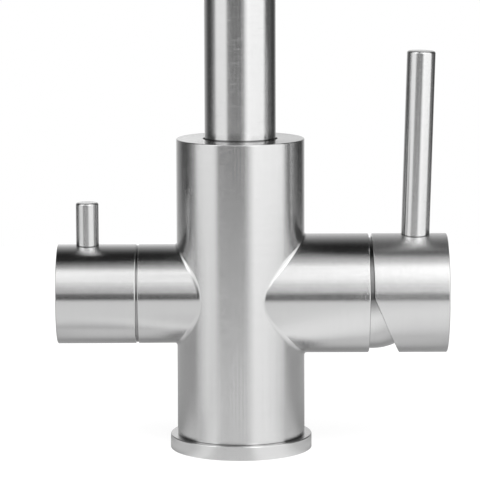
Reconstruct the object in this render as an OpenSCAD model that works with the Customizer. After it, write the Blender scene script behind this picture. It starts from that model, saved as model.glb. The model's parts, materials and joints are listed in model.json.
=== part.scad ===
// Three way kitchen tap for a sink or worktop.
// The right handle mixes hot and cold water, the left handle opens filtered water, and both
// waters leave through one swivelling swan neck spout, each in its own passage.
// +Z is up, -Y is towards the person at the sink, and the origin is on the worktop under the column.

/* [Column] */
// Diameter of the upright column
column_d = 45; // [44:0.5:48]
// Height of the column's flat top above the worktop
column_top = 110; // [106:1:130]
// Diameter of the ring that the column stands on
base_ring_d = 50; // [49:0.5:60]
// Height of the base ring
base_ring_h = 5; // [4:0.5:7]

/* [Side arms] */
// Height of the axis that both side arms share
arm_axis_h = 55; // [53:0.5:60]
// Diameter of the mixer arm and of the mixer handle's cap
mixer_arm_d = 42; // [41.8:0.1:44]
// Distance from the column's axis to the mixer arm's mouth
mixer_arm_reach = 45; // [44:0.5:50]
// Diameter of the filter arm and of the filter handle's knob
filter_arm_d = 35; // [34:0.5:38]
// Distance from the column's axis to the filter arm's mouth
filter_arm_reach = 36; // [35.5:0.5:40]

/* [Mixer handle] */
// Length of the mixer cap along its axis
mixer_cap_l = 26; // [25:0.5:32]
// Gap between the arm's mouth and the cap's rim, where the dome shows
mixer_cap_gap = 1.6; // [1.4:0.1:2.5]
// Angle of the cap's slanted lower rim from upright
cap_cut_angle = 23; // [22:0.5:26]
// Angle by which the cap's upper rim leans over the gap
cap_rim_lean = 1.6; // [0:0.1:2]
// Diameter of the mixer lever rod
mixer_rod_d = 10; // [8:0.5:11]
// Length of the mixer lever rod above the cap
mixer_rod_l = 64.5; // [40:0.5:90]
// Outward lean of the mixer lever rod, in degrees
mixer_rod_lean = 1.6; // [0:0.1:3]

/* [Filter handle] */
// Length of the filter knob along its axis
filter_knob_l = 27.8; // [27:0.1:34]
// Thickness of the spacer collar between arm and knob
filter_collar_h = 0.7; // [0.6:0.1:1.6]
// Diameter of the filter lever rod
filter_rod_d = 8; // [6:0.5:9]
// Length of the filter lever rod above the knob
filter_rod_l = 15; // [10:0.5:40]

/* [Spout] */
// Outside diameter of the spout tube
spout_d = 25; // [24:0.5:26]
// Wall of the spout tube
spout_wall = 1.2; // [1:0.1:1.6]
// Height above the worktop at which the swan neck starts to bend
spout_rise = 262; // [250:1:320]
// Radius of the swan neck at the middle of the tube
spout_bend_r = 95; // [70:1:120]
// Straight length of the drop between the bend and the outlet shell
spout_drop = 24; // [12:1:72]

/* [Hidden] */
$fn = 96;

// Overrun of every cut past the face that it opens
overrun = 1;
// Radial room between two pieces that stay together
seat_gap = 0.03;
// Radial room between a piece and the bore that it turns in
run_gap = 0.08;
// Room between faces that slide on each other
slide_gap = 0.02;
// Radial room on each side of a rubber ring
ring_gap = 0.04;
// Bevel on the edges of the turned outer pieces
edge_bevel = 0.4;

// Column and its foot
column_r = column_d / 2;
foot_wall = 4.5;
foot_bore_r = column_r - foot_wall;
cartridge_wall = 3.5;
cartridge_r = mixer_arm_d / 2 - cartridge_wall;
socket_room = 0.2;
socket_r = cartridge_r + socket_room;
socket_bed = 5.3;
block_h = 12;
block_top = arm_axis_h - socket_r - socket_bed;
block_bottom = block_top - block_h;
ring_lip = 1.5;
ring_bore_r = foot_bore_r - ring_lip;
ring_spigot_h = 3;
seal_band = 3;
seal_edge = 2.5;
seal_out_r = base_ring_d / 2 - seal_edge;
seal_in_r = seal_out_r - seal_band;
seal_h = 2;

// Threaded ports and stud holes in the inlet block, at tapping size
hose_port_r = 4.5;
filter_port_r = 3.5;
stud_hole_r = 2.5;
stud_hole_depth = 9;
hot_cold_x = 8;
hot_cold_y = 7.5;
filter_port_x = -11;
stud_x = -4.5;
stud_y = 12;
port_thread_l = 9;
port_lead = 0.6;

// Water ducts drilled in the column
duct_r = 3;
filter_duct_r = 2.5;
filter_rise_r = 2;
duct_point = 0.4;

// Swivel bore at the column's top
spout_r = spout_d / 2;
spout_mouth_gap = 0.6;
mouth_bore_r = spout_r + spout_mouth_gap;
swivel_inset = 0.5;
swivel_r = spout_r - swivel_inset;
swivel_bore_r = swivel_r + run_gap;
mouth_depth = 7;
mouth_floor = column_top - mouth_depth;
swivel_depth = 23;
swivel_floor = mouth_floor - swivel_depth;
slide_ring_h = 1.2;
swivel_flange_h = 1.5;
tube_foot = mouth_floor + slide_ring_h + swivel_flange_h;
swivel_foot_room = 3;
swivel_start = swivel_floor + swivel_foot_room;
swivel_wall = 2.8;
swivel_flow_r = swivel_r - swivel_wall;
tube_plug_h = 12;
o_ring_d = 1.8;
groove_side_room = 0.2;
o_ring_lead = 4;
o_ring_pitch = 5;
lock_pitch = 5.5;
lower_o_ring_z = swivel_start + o_ring_lead;
upper_o_ring_z = lower_o_ring_z + o_ring_pitch;
lock_z = upper_o_ring_z + lock_pitch;
lock_groove_w = 4.2;
lock_groove_depth = 1.2;
lock_screw_r = 2.5;
lock_screw_l = 6;
lock_tip_r = 1.7;
lock_tip_room = 0.3;
hex_key_share = 0.55;
hex_key_depth = 2;

// Filtered water spigot in the middle of the swivel
spigot_r = 3.5;
spigot_flow_r = 1.8;
spigot_thread_l = 6;
spigot_collar_r = 5;
spigot_collar_h = 2;
spigot_h = 13;
spigot_top = swivel_floor + spigot_h;
spigot_ring_d = 1;
spigot_ring_drop = 4;
spigot_ring_z = spigot_top - spigot_ring_drop;
filter_cross_z = swivel_floor - spigot_thread_l - spigot_flow_r;
hub_wall = 1.6;
hub_r = spigot_r + hub_wall;
hub_lift = 3;
hub_start = swivel_start + hub_lift;
hub_web = 1.6;
hub_web_l = 14;
hub_over = 1;
hub_end = mouth_floor + hub_over;
hub_web_start = hub_end - hub_web_l;
pipe_stop_l = 3;
pipe_seat_z = spigot_top + pipe_stop_l;
pipe_stop_r = 2.1;

// Filtered water pipe through the spout
pipe_r = 3;
pipe_wall = 1;

// A standard cartridge, whose sizes are fitted to the mixer arm by one share
standard_cartridge_r = 17.5;
cartridge_share = cartridge_r / standard_cartridge_r;
standard_moving_disc_r = 12.5;
standard_moving_disc_drop = 2;
standard_rotor_neck_r = 11;
standard_casing_neck_r = 14.2;
standard_inlet_y = 6.5;
standard_inlet_rise = 4.5;
standard_outlet_drop = 7.5;
standard_inlet_port_r = 2.6;
standard_outlet_port_r = 3;
standard_peg_r = 1.9;
standard_peg_y = 13;
standard_pocket_lobe_r = 2.5;
standard_pocket_lobe_y = 4.5;
standard_pocket_lobe_drop = 2.5;
standard_pocket_middle_r = 4;
standard_pocket_middle_drop = 6;
standard_lever_arm = 9;
standard_lift_travel_max = 4;
standard_ball_r = 2.8;
standard_stem_arm_r = 2;
standard_stem_bar = 7.6;
standard_eye_r = 4.2;
standard_eye_w = 8;
standard_pin_r = 1.5;
standard_carrier_boss = 9;
standard_carrier_boss_back = 7.8;
standard_slot_above = 6.6;
standard_slot_below = 6.8;
standard_cap_boss_r = 6.5;

// Mixer cartridge, from the socket's floor outwards
socket_depth = 31;
mixer_seat_x = mixer_arm_reach - socket_depth;
mouth_wall = 1.4;
mixer_mouth_r = mixer_arm_d / 2 - mouth_wall;
mixer_mouth_depth = 9;
seal_stand = 0.5;
base_x = mixer_seat_x + seal_stand;
base_t = 5;
fixed_disc_x = base_x + base_t;
fixed_disc_t = 4.5;
moving_disc_x = fixed_disc_x + fixed_disc_t + slide_gap;
moving_disc_t = 4;
moving_disc_r = standard_moving_disc_r * cartridge_share;
moving_disc_drop = standard_moving_disc_drop * cartridge_share;
carrier_x = moving_disc_x + moving_disc_t;
carrier_t = 4;
carrier_room = 0.1;
rotor_x = carrier_x + carrier_t + carrier_room;
rotor_plate_t = 4.3;
rotor_neck_r = standard_rotor_neck_r * cartridge_share;
casing_wall = 2;
casing_bore_r = cartridge_r - casing_wall;
casing_cap_x = rotor_x + rotor_plate_t + run_gap;
casing_cap_t = 2;
casing_shoulder_x = casing_cap_x + casing_cap_t;
casing_neck_r = standard_casing_neck_r * cartridge_share;
casing_neck_l = 4;
casing_end_x = casing_shoulder_x + casing_neck_l;
pivot_out = 1.3;
pivot_x = mixer_arm_reach + pivot_out;
neck_out = 4.7;
rotor_end_x = pivot_x + neck_out;
inlet_y = standard_inlet_y * cartridge_share;
inlet_rise = standard_inlet_rise * cartridge_share;
outlet_drop = standard_outlet_drop * cartridge_share;
inlet_port_r = standard_inlet_port_r * cartridge_share;
outlet_port_r = standard_outlet_port_r * cartridge_share;
port_seal_wall = 1;
port_seal_h = 1.5;
peg_r = standard_peg_r * cartridge_share;
peg_l = 2.4;
peg_y = standard_peg_y * cartridge_share;
pocket_depth = 2;
pocket_lobe_r = standard_pocket_lobe_r * cartridge_share;
pocket_lobe_y = standard_pocket_lobe_y * cartridge_share;
pocket_lobe_drop = standard_pocket_lobe_drop * cartridge_share;
pocket_middle_r = standard_pocket_middle_r * cartridge_share;
pocket_middle_drop = standard_pocket_middle_drop * cartridge_share;

// Lever stem, from its ball end outwards
lever_arm = standard_lever_arm * cartridge_share;
lift_travel_max = standard_lift_travel_max * cartridge_share;
ball_r = standard_ball_r * cartridge_share;
ball_room = 0.3;
stem_arm_r = standard_stem_arm_r * cartridge_share;
stem_bar = standard_stem_bar * cartridge_share;
eye_r = standard_eye_r * cartridge_share;
eye_w = standard_eye_w * cartridge_share;
pin_r = standard_pin_r * cartridge_share;
pin_room = 0.06;
pin_end_room = 0.7;
carrier_boss = standard_carrier_boss * cartridge_share;
carrier_boss_back = standard_carrier_boss_back * cartridge_share;
carrier_boss_end_x = pivot_x - carrier_boss_back;
ball_floor_room = 0.5;
carrier_socket_floor_x = pivot_x - lever_arm - ball_r - ball_floor_room;
slot_room = 0.1;
slot_above = standard_slot_above * cartridge_share;
slot_below = standard_slot_below * cartridge_share;
slot_lead = 0.7;
slot_start_x = carrier_boss_end_x + slot_lead;

// Clamp nut and dome
thread_room = 0.1;
nut_flange_t = 3.5;
nut_x = casing_shoulder_x;
nut_step_x = nut_x + nut_flange_t;
nut_back = 0.3;
nut_end_x = pivot_x - nut_back;
nut_bore_r = casing_neck_r + thread_room;
nut_slot_w = 3;
nut_slot_depth = 1.5;
dome_room = 0.05;
dome_r = mixer_mouth_r - dome_room;
dome_wall = 1.2;
dome_hole_angle = 50;

// Mixer cap
mixer_cap_r = mixer_arm_d / 2;
cap_x = mixer_arm_reach + mixer_cap_gap;
cap_end_x = cap_x + mixer_cap_l;
cap_dome_room = 0.45;
cap_cut_above = 1;
cap_boss_r = standard_cap_boss_r * cartridge_share;
cap_boss_in = 9.7;
cap_end_wall = 3;
stem_end_x = cap_end_x - cap_end_wall;
mixer_rod_in = 11.1;
rod_seat = 1;
rod_bevel = 0.8;
mixer_tenon_r = 3;
mixer_tenon_l = 4.5;
mixer_screw_in = 5.5;
mixer_screw_r = 2.5;
mixer_screw_l = 8;
screw_boss_wall = 1.3;
screw_boss_in = cap_end_x - mixer_screw_in - mixer_screw_r - screw_boss_wall;
screw_boss_l = (screw_boss_in - pivot_x) * tan(dome_hole_angle - cap_cut_angle);
plug_h = 3;
plug_sink = 0.3;

// Filtered water valve, from its seat outwards along -X
filter_arm_r = filter_arm_d / 2;
valve_seat_u = 16;
filter_rise_out = 2.5;
valve_bore_r = 11;
valve_seat_hole_r = 2.8;
seat_seal_h = 2;
seat_seal_in_r = 4;
cage_r = 8.8;
cage_wall = 1.2;
valve_disc_u = valve_seat_u + seat_seal_h;
valve_disc_t = 2.8;
valve_disc_r = 7.5;
valve_turning_u = valve_disc_u + valve_disc_t + slide_gap;
dog_u = valve_turning_u + valve_disc_t;
dog_h = 2.9;
dog_w = 4;
spindle_flange_h = 2;
spindle_flange_r = 7.3;
spindle_shaft_u = dog_u + dog_h + spindle_flange_h;
spindle_r = 4.4;
spindle_top_r = 3.9;
spindle_clip_r = 3.4;
valve_thread_u = dog_u + dog_h;
hex_across = 22;
hex_h = 4.5;
valve_neck_r = 7;
valve_neck_h = 5;
valve_neck_u = filter_arm_reach + hex_h + valve_neck_h;
valve_ring_d = 1.2;
valve_ring_back = 8;
valve_ring_pitch = 4;
clip_h = 0.8;
clip_r = 6;
window_w = 8;
disc_port_r = 2;
disc_port_out = 3.9;

// Filter knob
collar_inset = 0.4;
collar_wall = 2.6;
knob_u = filter_arm_reach + filter_collar_h;
knob_end_u = knob_u + filter_knob_l;
knob_wall = 2.2;
clip_over_room = 1.2;
knob_floor_u = valve_neck_u + clip_h + clip_over_room;
spindle_top_l = 8;
spindle_end_u = knob_floor_u + spindle_top_l;
filter_rod_in = 10.6;
filter_tenon_r = 2.5;
filter_tenon_l = 6;
filter_screw_out = 4;
filter_screw_u = knob_floor_u + filter_screw_out;
filter_screw_r = 2;
filter_screw_l = 7;

// Outlet
spout_reach = 2 * spout_bend_r;
shell_h = 12;
tube_end_z = spout_rise - spout_drop;
outlet_h = tube_end_z - shell_h;
shell_sleeve_h = 8;
shell_sleeve_wall = 0.8;
shell_lip = 0.6;
shell_lip_h = 1.5;
core_h = 8.5;
core_z = outlet_h + shell_lip_h;
washer_h = 1.5;
washer_wall = 1.6;
nozzle_r = 4;
nozzle_flow_r = 2.5;
nozzle_out = 1;
nozzle_collar_r = 5.2;
nozzle_end_z = tube_end_z + shell_sleeve_h;
nozzle_socket_l = 6;
nozzle_seat_z = nozzle_end_z - nozzle_socket_l;
jet_r = 0.75;
inner_jets = 16;
outer_jets = 22;
jet_band_share = 0.36;
sleeve_r = spout_r - spout_wall - seat_gap;
shell_bore_r = sleeve_r - shell_sleeve_wall;

// Shapes that repeat

// A solid bar from z0 to z1
module bar(r, z0, z1) {
    translate([0, 0, z0]) cylinder(r = r, h = z1 - z0);
}

// A bar with a bevel on each end that has one
module bevelled_bar(r, z0, z1, low = edge_bevel, high = edge_bevel) {
    low_edge = low > 0 ? [[r - low, z0], [r, z0 + low]] : [[r, z0]];
    high_edge = high > 0 ? [[r, z1 - high], [r - high, z1]] : [[r, z1]];
    rotate_extrude() polygon(concat([[0, z0]], low_edge, high_edge, [[0, z1]]));
}

// A ring from z0 to z1
module ring(out_r, in_r, z0, z1) {
    difference() {
        bar(out_r, z0, z1);
        bar(in_r, z0 - overrun, z1 + overrun);
    }
}

// A groove cut in a shaft of radius r, floor radius in_r
module groove(r, in_r, z, w) {
    ring(r + overrun, in_r, z - w / 2, z + w / 2);
}

// A rubber ring of round section that seals a turning shaft in a bore
module o_ring(bore_r, section_d, z) {
    translate([0, 0, z]) rotate_extrude()
        translate([bore_r - ring_gap - section_d / 2, 0]) circle(d = section_d, $fn = 32);
}

// The groove in the shaft for that ring
module o_ring_groove(shaft_r, bore_r, section_d, z) {
    groove(shaft_r, bore_r - 2 * ring_gap - section_d, z, section_d + 2 * groove_side_room);
}

// A headless screw from z0 to z1 with a hexagon key hole in its z1 end
module grub_screw(r, z0, z1) {
    difference() {
        bevelled_bar(r, z0, z1, low = edge_bevel, high = 0);
        translate([0, 0, z1 - hex_key_depth])
            cylinder(r = r * hex_key_share, h = hex_key_depth + overrun, $fn = 6);
    }
}

// Local Z becomes +X, local -X becomes +Z, on the side arms' axis
module on_mixer_axis() {
    translate([0, 0, arm_axis_h]) rotate([0, 90, 0]) children();
}

// Local Z becomes -X, local +X becomes +Z, on the side arms' axis
module on_filter_axis() {
    translate([0, 0, arm_axis_h]) rotate([0, -90, 0]) children();
}

// A place on the mixer axis, given sideways y and height above the axis
module mixer_place(y, rise) {
    on_mixer_axis() translate([-rise, y, 0]) children();
}

// Column and its foot

module body() color("silver") {
    difference() {
        union() {
            bevelled_bar(column_r, base_ring_h, column_top, low = 0);
            on_mixer_axis() bevelled_bar(mixer_arm_d / 2, 0, mixer_arm_reach, low = 0);
            on_filter_axis() bevelled_bar(filter_arm_r, 0, filter_arm_reach, low = 0);
        }
        bar(foot_bore_r, base_ring_h - overrun, block_top);
        bar(swivel_bore_r, swivel_floor, column_top);
        bar(mouth_bore_r, mouth_floor, column_top + overrun);
        bar(spigot_r, filter_cross_z - spigot_r, swivel_floor + overrun);
        body_mixer_cuts();
        body_filter_cuts();
        translate([0, 0, lock_z]) rotate([-90, 0, 0])
            bar(lock_screw_r, swivel_r - overrun, column_r + overrun);
    }
}

// Mixer socket, the hot and cold ducts up to it, and the mixed duct up to the spout
module body_mixer_cuts() {
    on_mixer_axis() {
        bar(socket_r, mixer_seat_x, mixer_arm_reach);
        bar(mixer_mouth_r, mixer_arm_reach - mixer_mouth_depth, mixer_arm_reach + overrun);
    }
    for (side = [-1, 1]) {
        mixer_place(side * inlet_y, inlet_rise)
            bar(inlet_port_r, hot_cold_x, mixer_seat_x + overrun);
        translate([hot_cold_x, side * hot_cold_y, 0])
            bar(duct_r, block_top - overrun, arm_axis_h + inlet_rise + inlet_port_r + duct_point);
        mixer_place(side * peg_y, 0)
            bar(peg_r + seat_gap, mixer_seat_x - peg_l, mixer_seat_x + overrun);
    }
    mixer_place(0, -outlet_drop)
        bar(outlet_port_r, hot_cold_x, mixer_seat_x + overrun);
    translate([hot_cold_x, 0, 0])
        bar(duct_r - duct_point, arm_axis_h - outlet_drop - outlet_port_r, swivel_floor + overrun);
}

// Valve socket, the filtered duct up to its seat, and the duct from it to the spigot
module body_filter_cuts() {
    on_filter_axis() {
        bar(valve_bore_r, valve_seat_u, filter_arm_reach + overrun);
        bar(valve_seat_hole_r, -filter_port_x, valve_seat_u + overrun);
    }
    translate([filter_port_x, 0, 0])
        bar(filter_duct_r, block_top - overrun, arm_axis_h + valve_seat_hole_r + duct_point);
    rise_u = valve_seat_u + filter_rise_out;
    translate([-rise_u, 0, 0])
        bar(filter_rise_r, arm_axis_h + cage_r, filter_cross_z + spigot_r);
    translate([0, 0, filter_cross_z]) rotate([0, -90, 0])
        bar(spigot_flow_r, 0, rise_u);
}

module base_ring() color("gainsboro") {
    difference() {
        union() {
            bevelled_bar(base_ring_d / 2, 0, base_ring_h);
            bar(foot_bore_r - seat_gap, 0, base_ring_h + ring_spigot_h);
        }
        bar(ring_bore_r, -overrun, base_ring_h + ring_spigot_h + overrun);
        ring(seal_out_r, seal_in_r, -overrun, seal_h);
    }
}

module base_seal() color("black") {
    ring(seal_out_r - seat_gap, seal_in_r + seat_gap, 0, seal_h);
}

module inlet_block() color("silver") {
    difference() {
        bevelled_bar(foot_bore_r - seat_gap, block_bottom, block_top, high = 0);
        for (side = [-1, 1]) {
            translate([hot_cold_x, side * hot_cold_y, 0])
                threaded_port(hose_port_r, duct_r, port_thread_l, block_h + overrun);
            translate([stud_x, side * stud_y, block_bottom])
                bar(stud_hole_r, -overrun, stud_hole_depth);
        }
        translate([filter_port_x, 0, 0])
            threaded_port(filter_port_r, filter_duct_r, port_thread_l, block_h + overrun);
    }
}

// A tapped hole up into the block, with a lead-in cone and a narrower duct above it
module threaded_port(r, flow_r, thread_l, flow_l) {
    translate([0, 0, block_bottom]) {
        bar(r, -overrun, thread_l);
        bar(flow_r, 0, flow_l);
        cylinder(r1 = r + port_lead, r2 = r, h = port_lead);
    }
}

// Filtered water spigot that the spout's hub turns on

module filter_spigot() color("goldenrod") {
    difference() {
        union() {
            bar(spigot_r - seat_gap, swivel_floor - spigot_thread_l, swivel_floor);
            translate([0, 0, swivel_floor])
                cylinder(r = spigot_collar_r, h = spigot_collar_h, $fn = 6);
            bevelled_bar(spigot_r - run_gap, swivel_floor, spigot_top, low = 0);
        }
        bar(spigot_flow_r, swivel_floor - spigot_thread_l - overrun, spigot_top + overrun);
        o_ring_groove(spigot_r, spigot_r, spigot_ring_d, spigot_ring_z);
    }
}

module spigot_o_ring() color("black") {
    o_ring(spigot_r, spigot_ring_d, spigot_ring_z);
}

// Screw in the back of the column whose tip keeps the spout in its bore
module spout_lock_screw() color("dimgray") {
    translate([0, 0, lock_z]) rotate([-90, 0, 0]) {
        grub_screw(lock_screw_r - seat_gap, swivel_bore_r + lock_tip_room,
            swivel_bore_r + lock_tip_room + lock_screw_l);
        bar(lock_tip_r, swivel_r - lock_groove_depth + lock_tip_room,
            swivel_bore_r + lock_tip_room + edge_bevel);
    }
}

// Mixer cartridge

module cartridge_base() color("ivory") {
    difference() {
        union() {
            on_mixer_axis() bar(cartridge_r, base_x, fixed_disc_x);
            for (side = [-1, 1]) mixer_place(side * peg_y, 0)
                bar(peg_r, mixer_seat_x - peg_l + seal_stand, base_x);
        }
        cartridge_ports(base_x - overrun, fixed_disc_x + overrun);
        port_seal_seats();
    }
}

// The three water passages through the cartridge's base and fixed disc
module cartridge_ports(x0, x1) {
    for (side = [-1, 1])
        mixer_place(side * inlet_y, inlet_rise) bar(inlet_port_r, x0, x1);
    mixer_place(0, -outlet_drop) bar(outlet_port_r, x0, x1);
}

module port_seal_seats() {
    for (side = [-1, 1]) mixer_place(side * inlet_y, inlet_rise)
        bar(inlet_port_r + port_seal_wall + seat_gap, base_x - overrun, base_x + port_seal_h);
    mixer_place(0, -outlet_drop)
        bar(outlet_port_r + port_seal_wall + seat_gap, base_x - overrun, base_x + port_seal_h);
}

module port_seals() color("black") {
    for (side = [-1, 1]) mixer_place(side * inlet_y, inlet_rise)
        ring(inlet_port_r + port_seal_wall, inlet_port_r, mixer_seat_x, base_x + port_seal_h);
    mixer_place(0, -outlet_drop)
        ring(outlet_port_r + port_seal_wall, outlet_port_r, mixer_seat_x, base_x + port_seal_h);
}

module cartridge_casing() color("whitesmoke") {
    on_mixer_axis() difference() {
        union() {
            bar(cartridge_r, fixed_disc_x, casing_shoulder_x);
            bar(casing_neck_r, casing_shoulder_x, casing_end_x);
        }
        bar(casing_bore_r, fixed_disc_x - overrun, casing_cap_x);
        bar(rotor_neck_r + run_gap, casing_cap_x - overrun, casing_end_x + overrun);
    }
}

module mixer_fixed_disc() color("white") {
    difference() {
        on_mixer_axis() bar(casing_bore_r - seat_gap, fixed_disc_x, fixed_disc_x + fixed_disc_t);
        cartridge_ports(fixed_disc_x - overrun, fixed_disc_x + fixed_disc_t + overrun);
    }
}

// The sliding disc, with the pocket on its inner face that joins the ports
module mixer_moving_disc() color("white") {
    difference() {
        mixer_place(0, -moving_disc_drop) bar(moving_disc_r, moving_disc_x, carrier_x);
        for (side = [-1, 1]) mixer_place(side * pocket_lobe_y, -pocket_lobe_drop)
            bar(pocket_lobe_r, moving_disc_x - overrun, moving_disc_x + pocket_depth);
        mixer_place(0, -pocket_middle_drop)
            bar(pocket_middle_r, moving_disc_x - overrun, moving_disc_x + pocket_depth);
        mixer_place(0, -pocket_lobe_drop) translate([-pocket_lobe_r, -pocket_lobe_y, moving_disc_x - overrun])
            cube([2 * pocket_lobe_r, 2 * pocket_lobe_y, pocket_depth + overrun]);
    }
}

module disc_carrier() color("khaki") {
    difference() {
        union() {
            mixer_place(0, -moving_disc_drop) bar(moving_disc_r, carrier_x, carrier_x + carrier_t);
            on_mixer_axis() translate([-carrier_boss / 2, -carrier_boss / 2, carrier_x])
                cube([carrier_boss, carrier_boss, carrier_boss_end_x - carrier_x]);
        }
        on_mixer_axis() bar(ball_r + ball_room, carrier_socket_floor_x, carrier_boss_end_x + overrun);
    }
}

module cartridge_rotor() color("lightsteelblue") {
    half_boss = carrier_boss / 2 + slot_room;
    half_eye = eye_w / 2 + slot_room;
    on_mixer_axis() difference() {
        union() {
            bar(casing_bore_r - run_gap, rotor_x, rotor_x + rotor_plate_t);
            bar(rotor_neck_r, rotor_x, rotor_end_x);
        }
        translate([-half_boss - lift_travel_max, -half_boss, rotor_x - overrun])
            cube([2 * half_boss + lift_travel_max, 2 * half_boss, slot_start_x - rotor_x + overrun]);
        translate([-slot_above, -half_eye, rotor_x])
            cube([slot_above + slot_below, 2 * half_eye, rotor_end_x - rotor_x + overrun]);
        translate([0, 0, pivot_x]) rotate([90, 0, 0])
            bar(pin_r + seat_gap, -rotor_neck_r - overrun, rotor_neck_r + overrun);
    }
}

module pivot_pin() color("silver") {
    on_mixer_axis() translate([0, 0, pivot_x]) rotate([90, 0, 0])
        bar(pin_r, pin_end_room - rotor_neck_r, rotor_neck_r - pin_end_room);
}

module lever_stem() color("silver") {
    on_mixer_axis() difference() {
        union() {
            translate([0, 0, pivot_x]) rotate([90, 0, 0]) bar(eye_r, -eye_w / 2, eye_w / 2);
            translate([-stem_bar / 2, -stem_bar / 2, pivot_x])
                cube([stem_bar, stem_bar, stem_end_x - pivot_x]);
            bar(stem_arm_r, pivot_x - lever_arm, pivot_x);
            translate([0, 0, pivot_x - lever_arm]) sphere(r = ball_r);
        }
        translate([0, 0, pivot_x]) rotate([90, 0, 0]) bar(pin_r + pin_room, -eye_w, eye_w);
    }
}

module clamp_nut() color("goldenrod") {
    on_mixer_axis() difference() {
        union() {
            bar(mixer_mouth_r - thread_room, nut_x, nut_step_x);
            bar(dome_r - dome_wall - thread_room, nut_x, nut_end_x);
        }
        bar(nut_bore_r, nut_x - overrun, nut_end_x + overrun);
        for (turn = [0, 90]) rotate(turn)
            translate([-nut_slot_w / 2, -mixer_arm_d / 2, nut_end_x - nut_slot_depth])
                cube([nut_slot_w, mixer_arm_d, nut_slot_depth + overrun]);
    }
}

// Ball shaped cover that shows in the gap of the mixer handle, centred on the lever's pivot
module dome_cover() color("silver") {
    skirt_x = nut_step_x + seat_gap;
    on_mixer_axis() {
        difference() {
            translate([0, 0, pivot_x]) sphere(r = dome_r);
            translate([0, 0, pivot_x]) sphere(r = dome_r - dome_wall);
            bar(dome_r * sin(dome_hole_angle), pivot_x, pivot_x + dome_r + overrun);
            bar(dome_r + overrun, pivot_x - dome_r - overrun, pivot_x);
        }
        ring(dome_r, dome_r - dome_wall, skirt_x, pivot_x);
    }
}

// Mixer handle

module mixer_cap() color("silver") {
    difference() {
        on_mixer_axis() bevelled_bar(mixer_cap_r, mixer_arm_reach, cap_end_x, low = 0);
        cap_hollow();
        cap_slant();
        on_mixer_axis() translate([0, 0, pivot_x]) {
            half_bar = stem_bar / 2 + seat_gap;
            translate([-half_bar, -half_bar, 0])
                cube([2 * half_bar, 2 * half_bar, stem_end_x - pivot_x + seat_gap]);
        }
        on_mixer_rod() {
            bar(mixer_rod_d / 2 + seat_gap, -rod_seat, mixer_cap_r);
            bar(mixer_tenon_r + seat_gap, -rod_seat - mixer_tenon_l, 0);
        }
        below_mixer_axis(cap_end_x - mixer_screw_in) bar(mixer_screw_r, 0, mixer_cap_r + overrun);
    }
}

// Ball shaped hollow that clears the dome at every tilt, less the bosses of the stem and its screw.
// The screw's boss is just short enough to stay inside the dome's opening at full tilt
module cap_hollow() {
    difference() {
        on_mixer_axis() translate([0, 0, pivot_x]) sphere(r = dome_r + cap_dome_room);
        on_mixer_axis() bar(cap_boss_r, pivot_x + cap_boss_in, cap_end_x);
        below_mixer_axis(cap_end_x - mixer_screw_in)
            bar(mixer_screw_r + screw_boss_wall, 0, screw_boss_l);
    }
}

// Everything behind the rim's two planes: one that leans a little over the gap above the axis, and
// a slanted one below it, so that the tilted rim clears the arm
module cap_slant() {
    translate([cap_x, 0, arm_axis_h + cap_cut_above])
        for (lean = [cap_rim_lean, cap_cut_angle]) rotate([0, -lean, 0])
            translate([-mixer_arm_d, -mixer_arm_d, -mixer_arm_d])
                cube([mixer_arm_d, 2 * mixer_arm_d, 2 * mixer_arm_d]);
}

// The foot of the leaning rod, on the top line of the cap
module on_mixer_rod() {
    translate([cap_end_x - mixer_rod_in, 0, arm_axis_h + mixer_cap_r])
        rotate([0, mixer_rod_lean, 0]) children();
}

// Local Z runs straight down from the arms' axis at distance x from the column
module below_mixer_axis(x) {
    translate([x, 0, arm_axis_h]) rotate([180, 0, 0]) children();
}

module mixer_rod() color("silver") {
    on_mixer_rod() {
        bevelled_bar(mixer_rod_d / 2, -rod_seat, mixer_rod_l, low = 0, high = rod_bevel);
        bar(mixer_tenon_r, -rod_seat - mixer_tenon_l, -rod_seat);
    }
}

module mixer_screw() color("dimgray") {
    below_mixer_axis(cap_end_x - mixer_screw_in)
        grub_screw(mixer_screw_r - seat_gap, stem_bar / 2, stem_bar / 2 + mixer_screw_l);
}

module mixer_screw_plug() color("darkgray") {
    top = mixer_cap_r - plug_sink;
    below_mixer_axis(cap_end_x - mixer_screw_in)
        bevelled_bar(mixer_screw_r - seat_gap, top - plug_h, top, low = 0);
}

// Filtered water valve

module valve_casing() color("goldenrod") {
    on_filter_axis() difference() {
        union() {
            bar(cage_r, valve_disc_u, valve_thread_u);
            bar(valve_bore_r - seat_gap, valve_thread_u, filter_arm_reach);
            translate([0, 0, filter_arm_reach])
                cylinder(d = hex_across / cos(30), h = hex_h, $fn = 6);
            bevelled_bar(valve_neck_r, filter_arm_reach, valve_neck_u, low = 0);
        }
        bar(cage_r - cage_wall, valve_disc_u - overrun, spindle_shaft_u + run_gap);
        bar(spindle_r + run_gap, spindle_shaft_u, valve_neck_u + overrun);
        translate([-window_w / 2, -valve_bore_r, dog_u + slide_gap])
            cube([window_w, 2 * valve_bore_r, dog_h - slide_gap]);
    }
}

module valve_seat_seal() color("black") {
    on_filter_axis() ring(cage_r, seat_seal_in_r, valve_seat_u, valve_disc_u);
}

// A ceramic disc with two opposite ports, turned so that the ports lie along port_angle
module valve_disc(u, r, port_angle) {
    on_filter_axis() difference() {
        bar(r, u, u + valve_disc_t);
        rotate(port_angle) for (side = [-1, 1]) translate([side * disc_port_out, 0, 0])
            bar(disc_port_r, u - overrun, u + valve_disc_t + overrun);
    }
}

module valve_fixed_disc() color("white") {
    valve_disc(valve_disc_u, valve_disc_r, 0);
}

module valve_moving_disc() color("white") {
    valve_disc(valve_turning_u, valve_disc_r - run_gap, 90);
}

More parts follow.
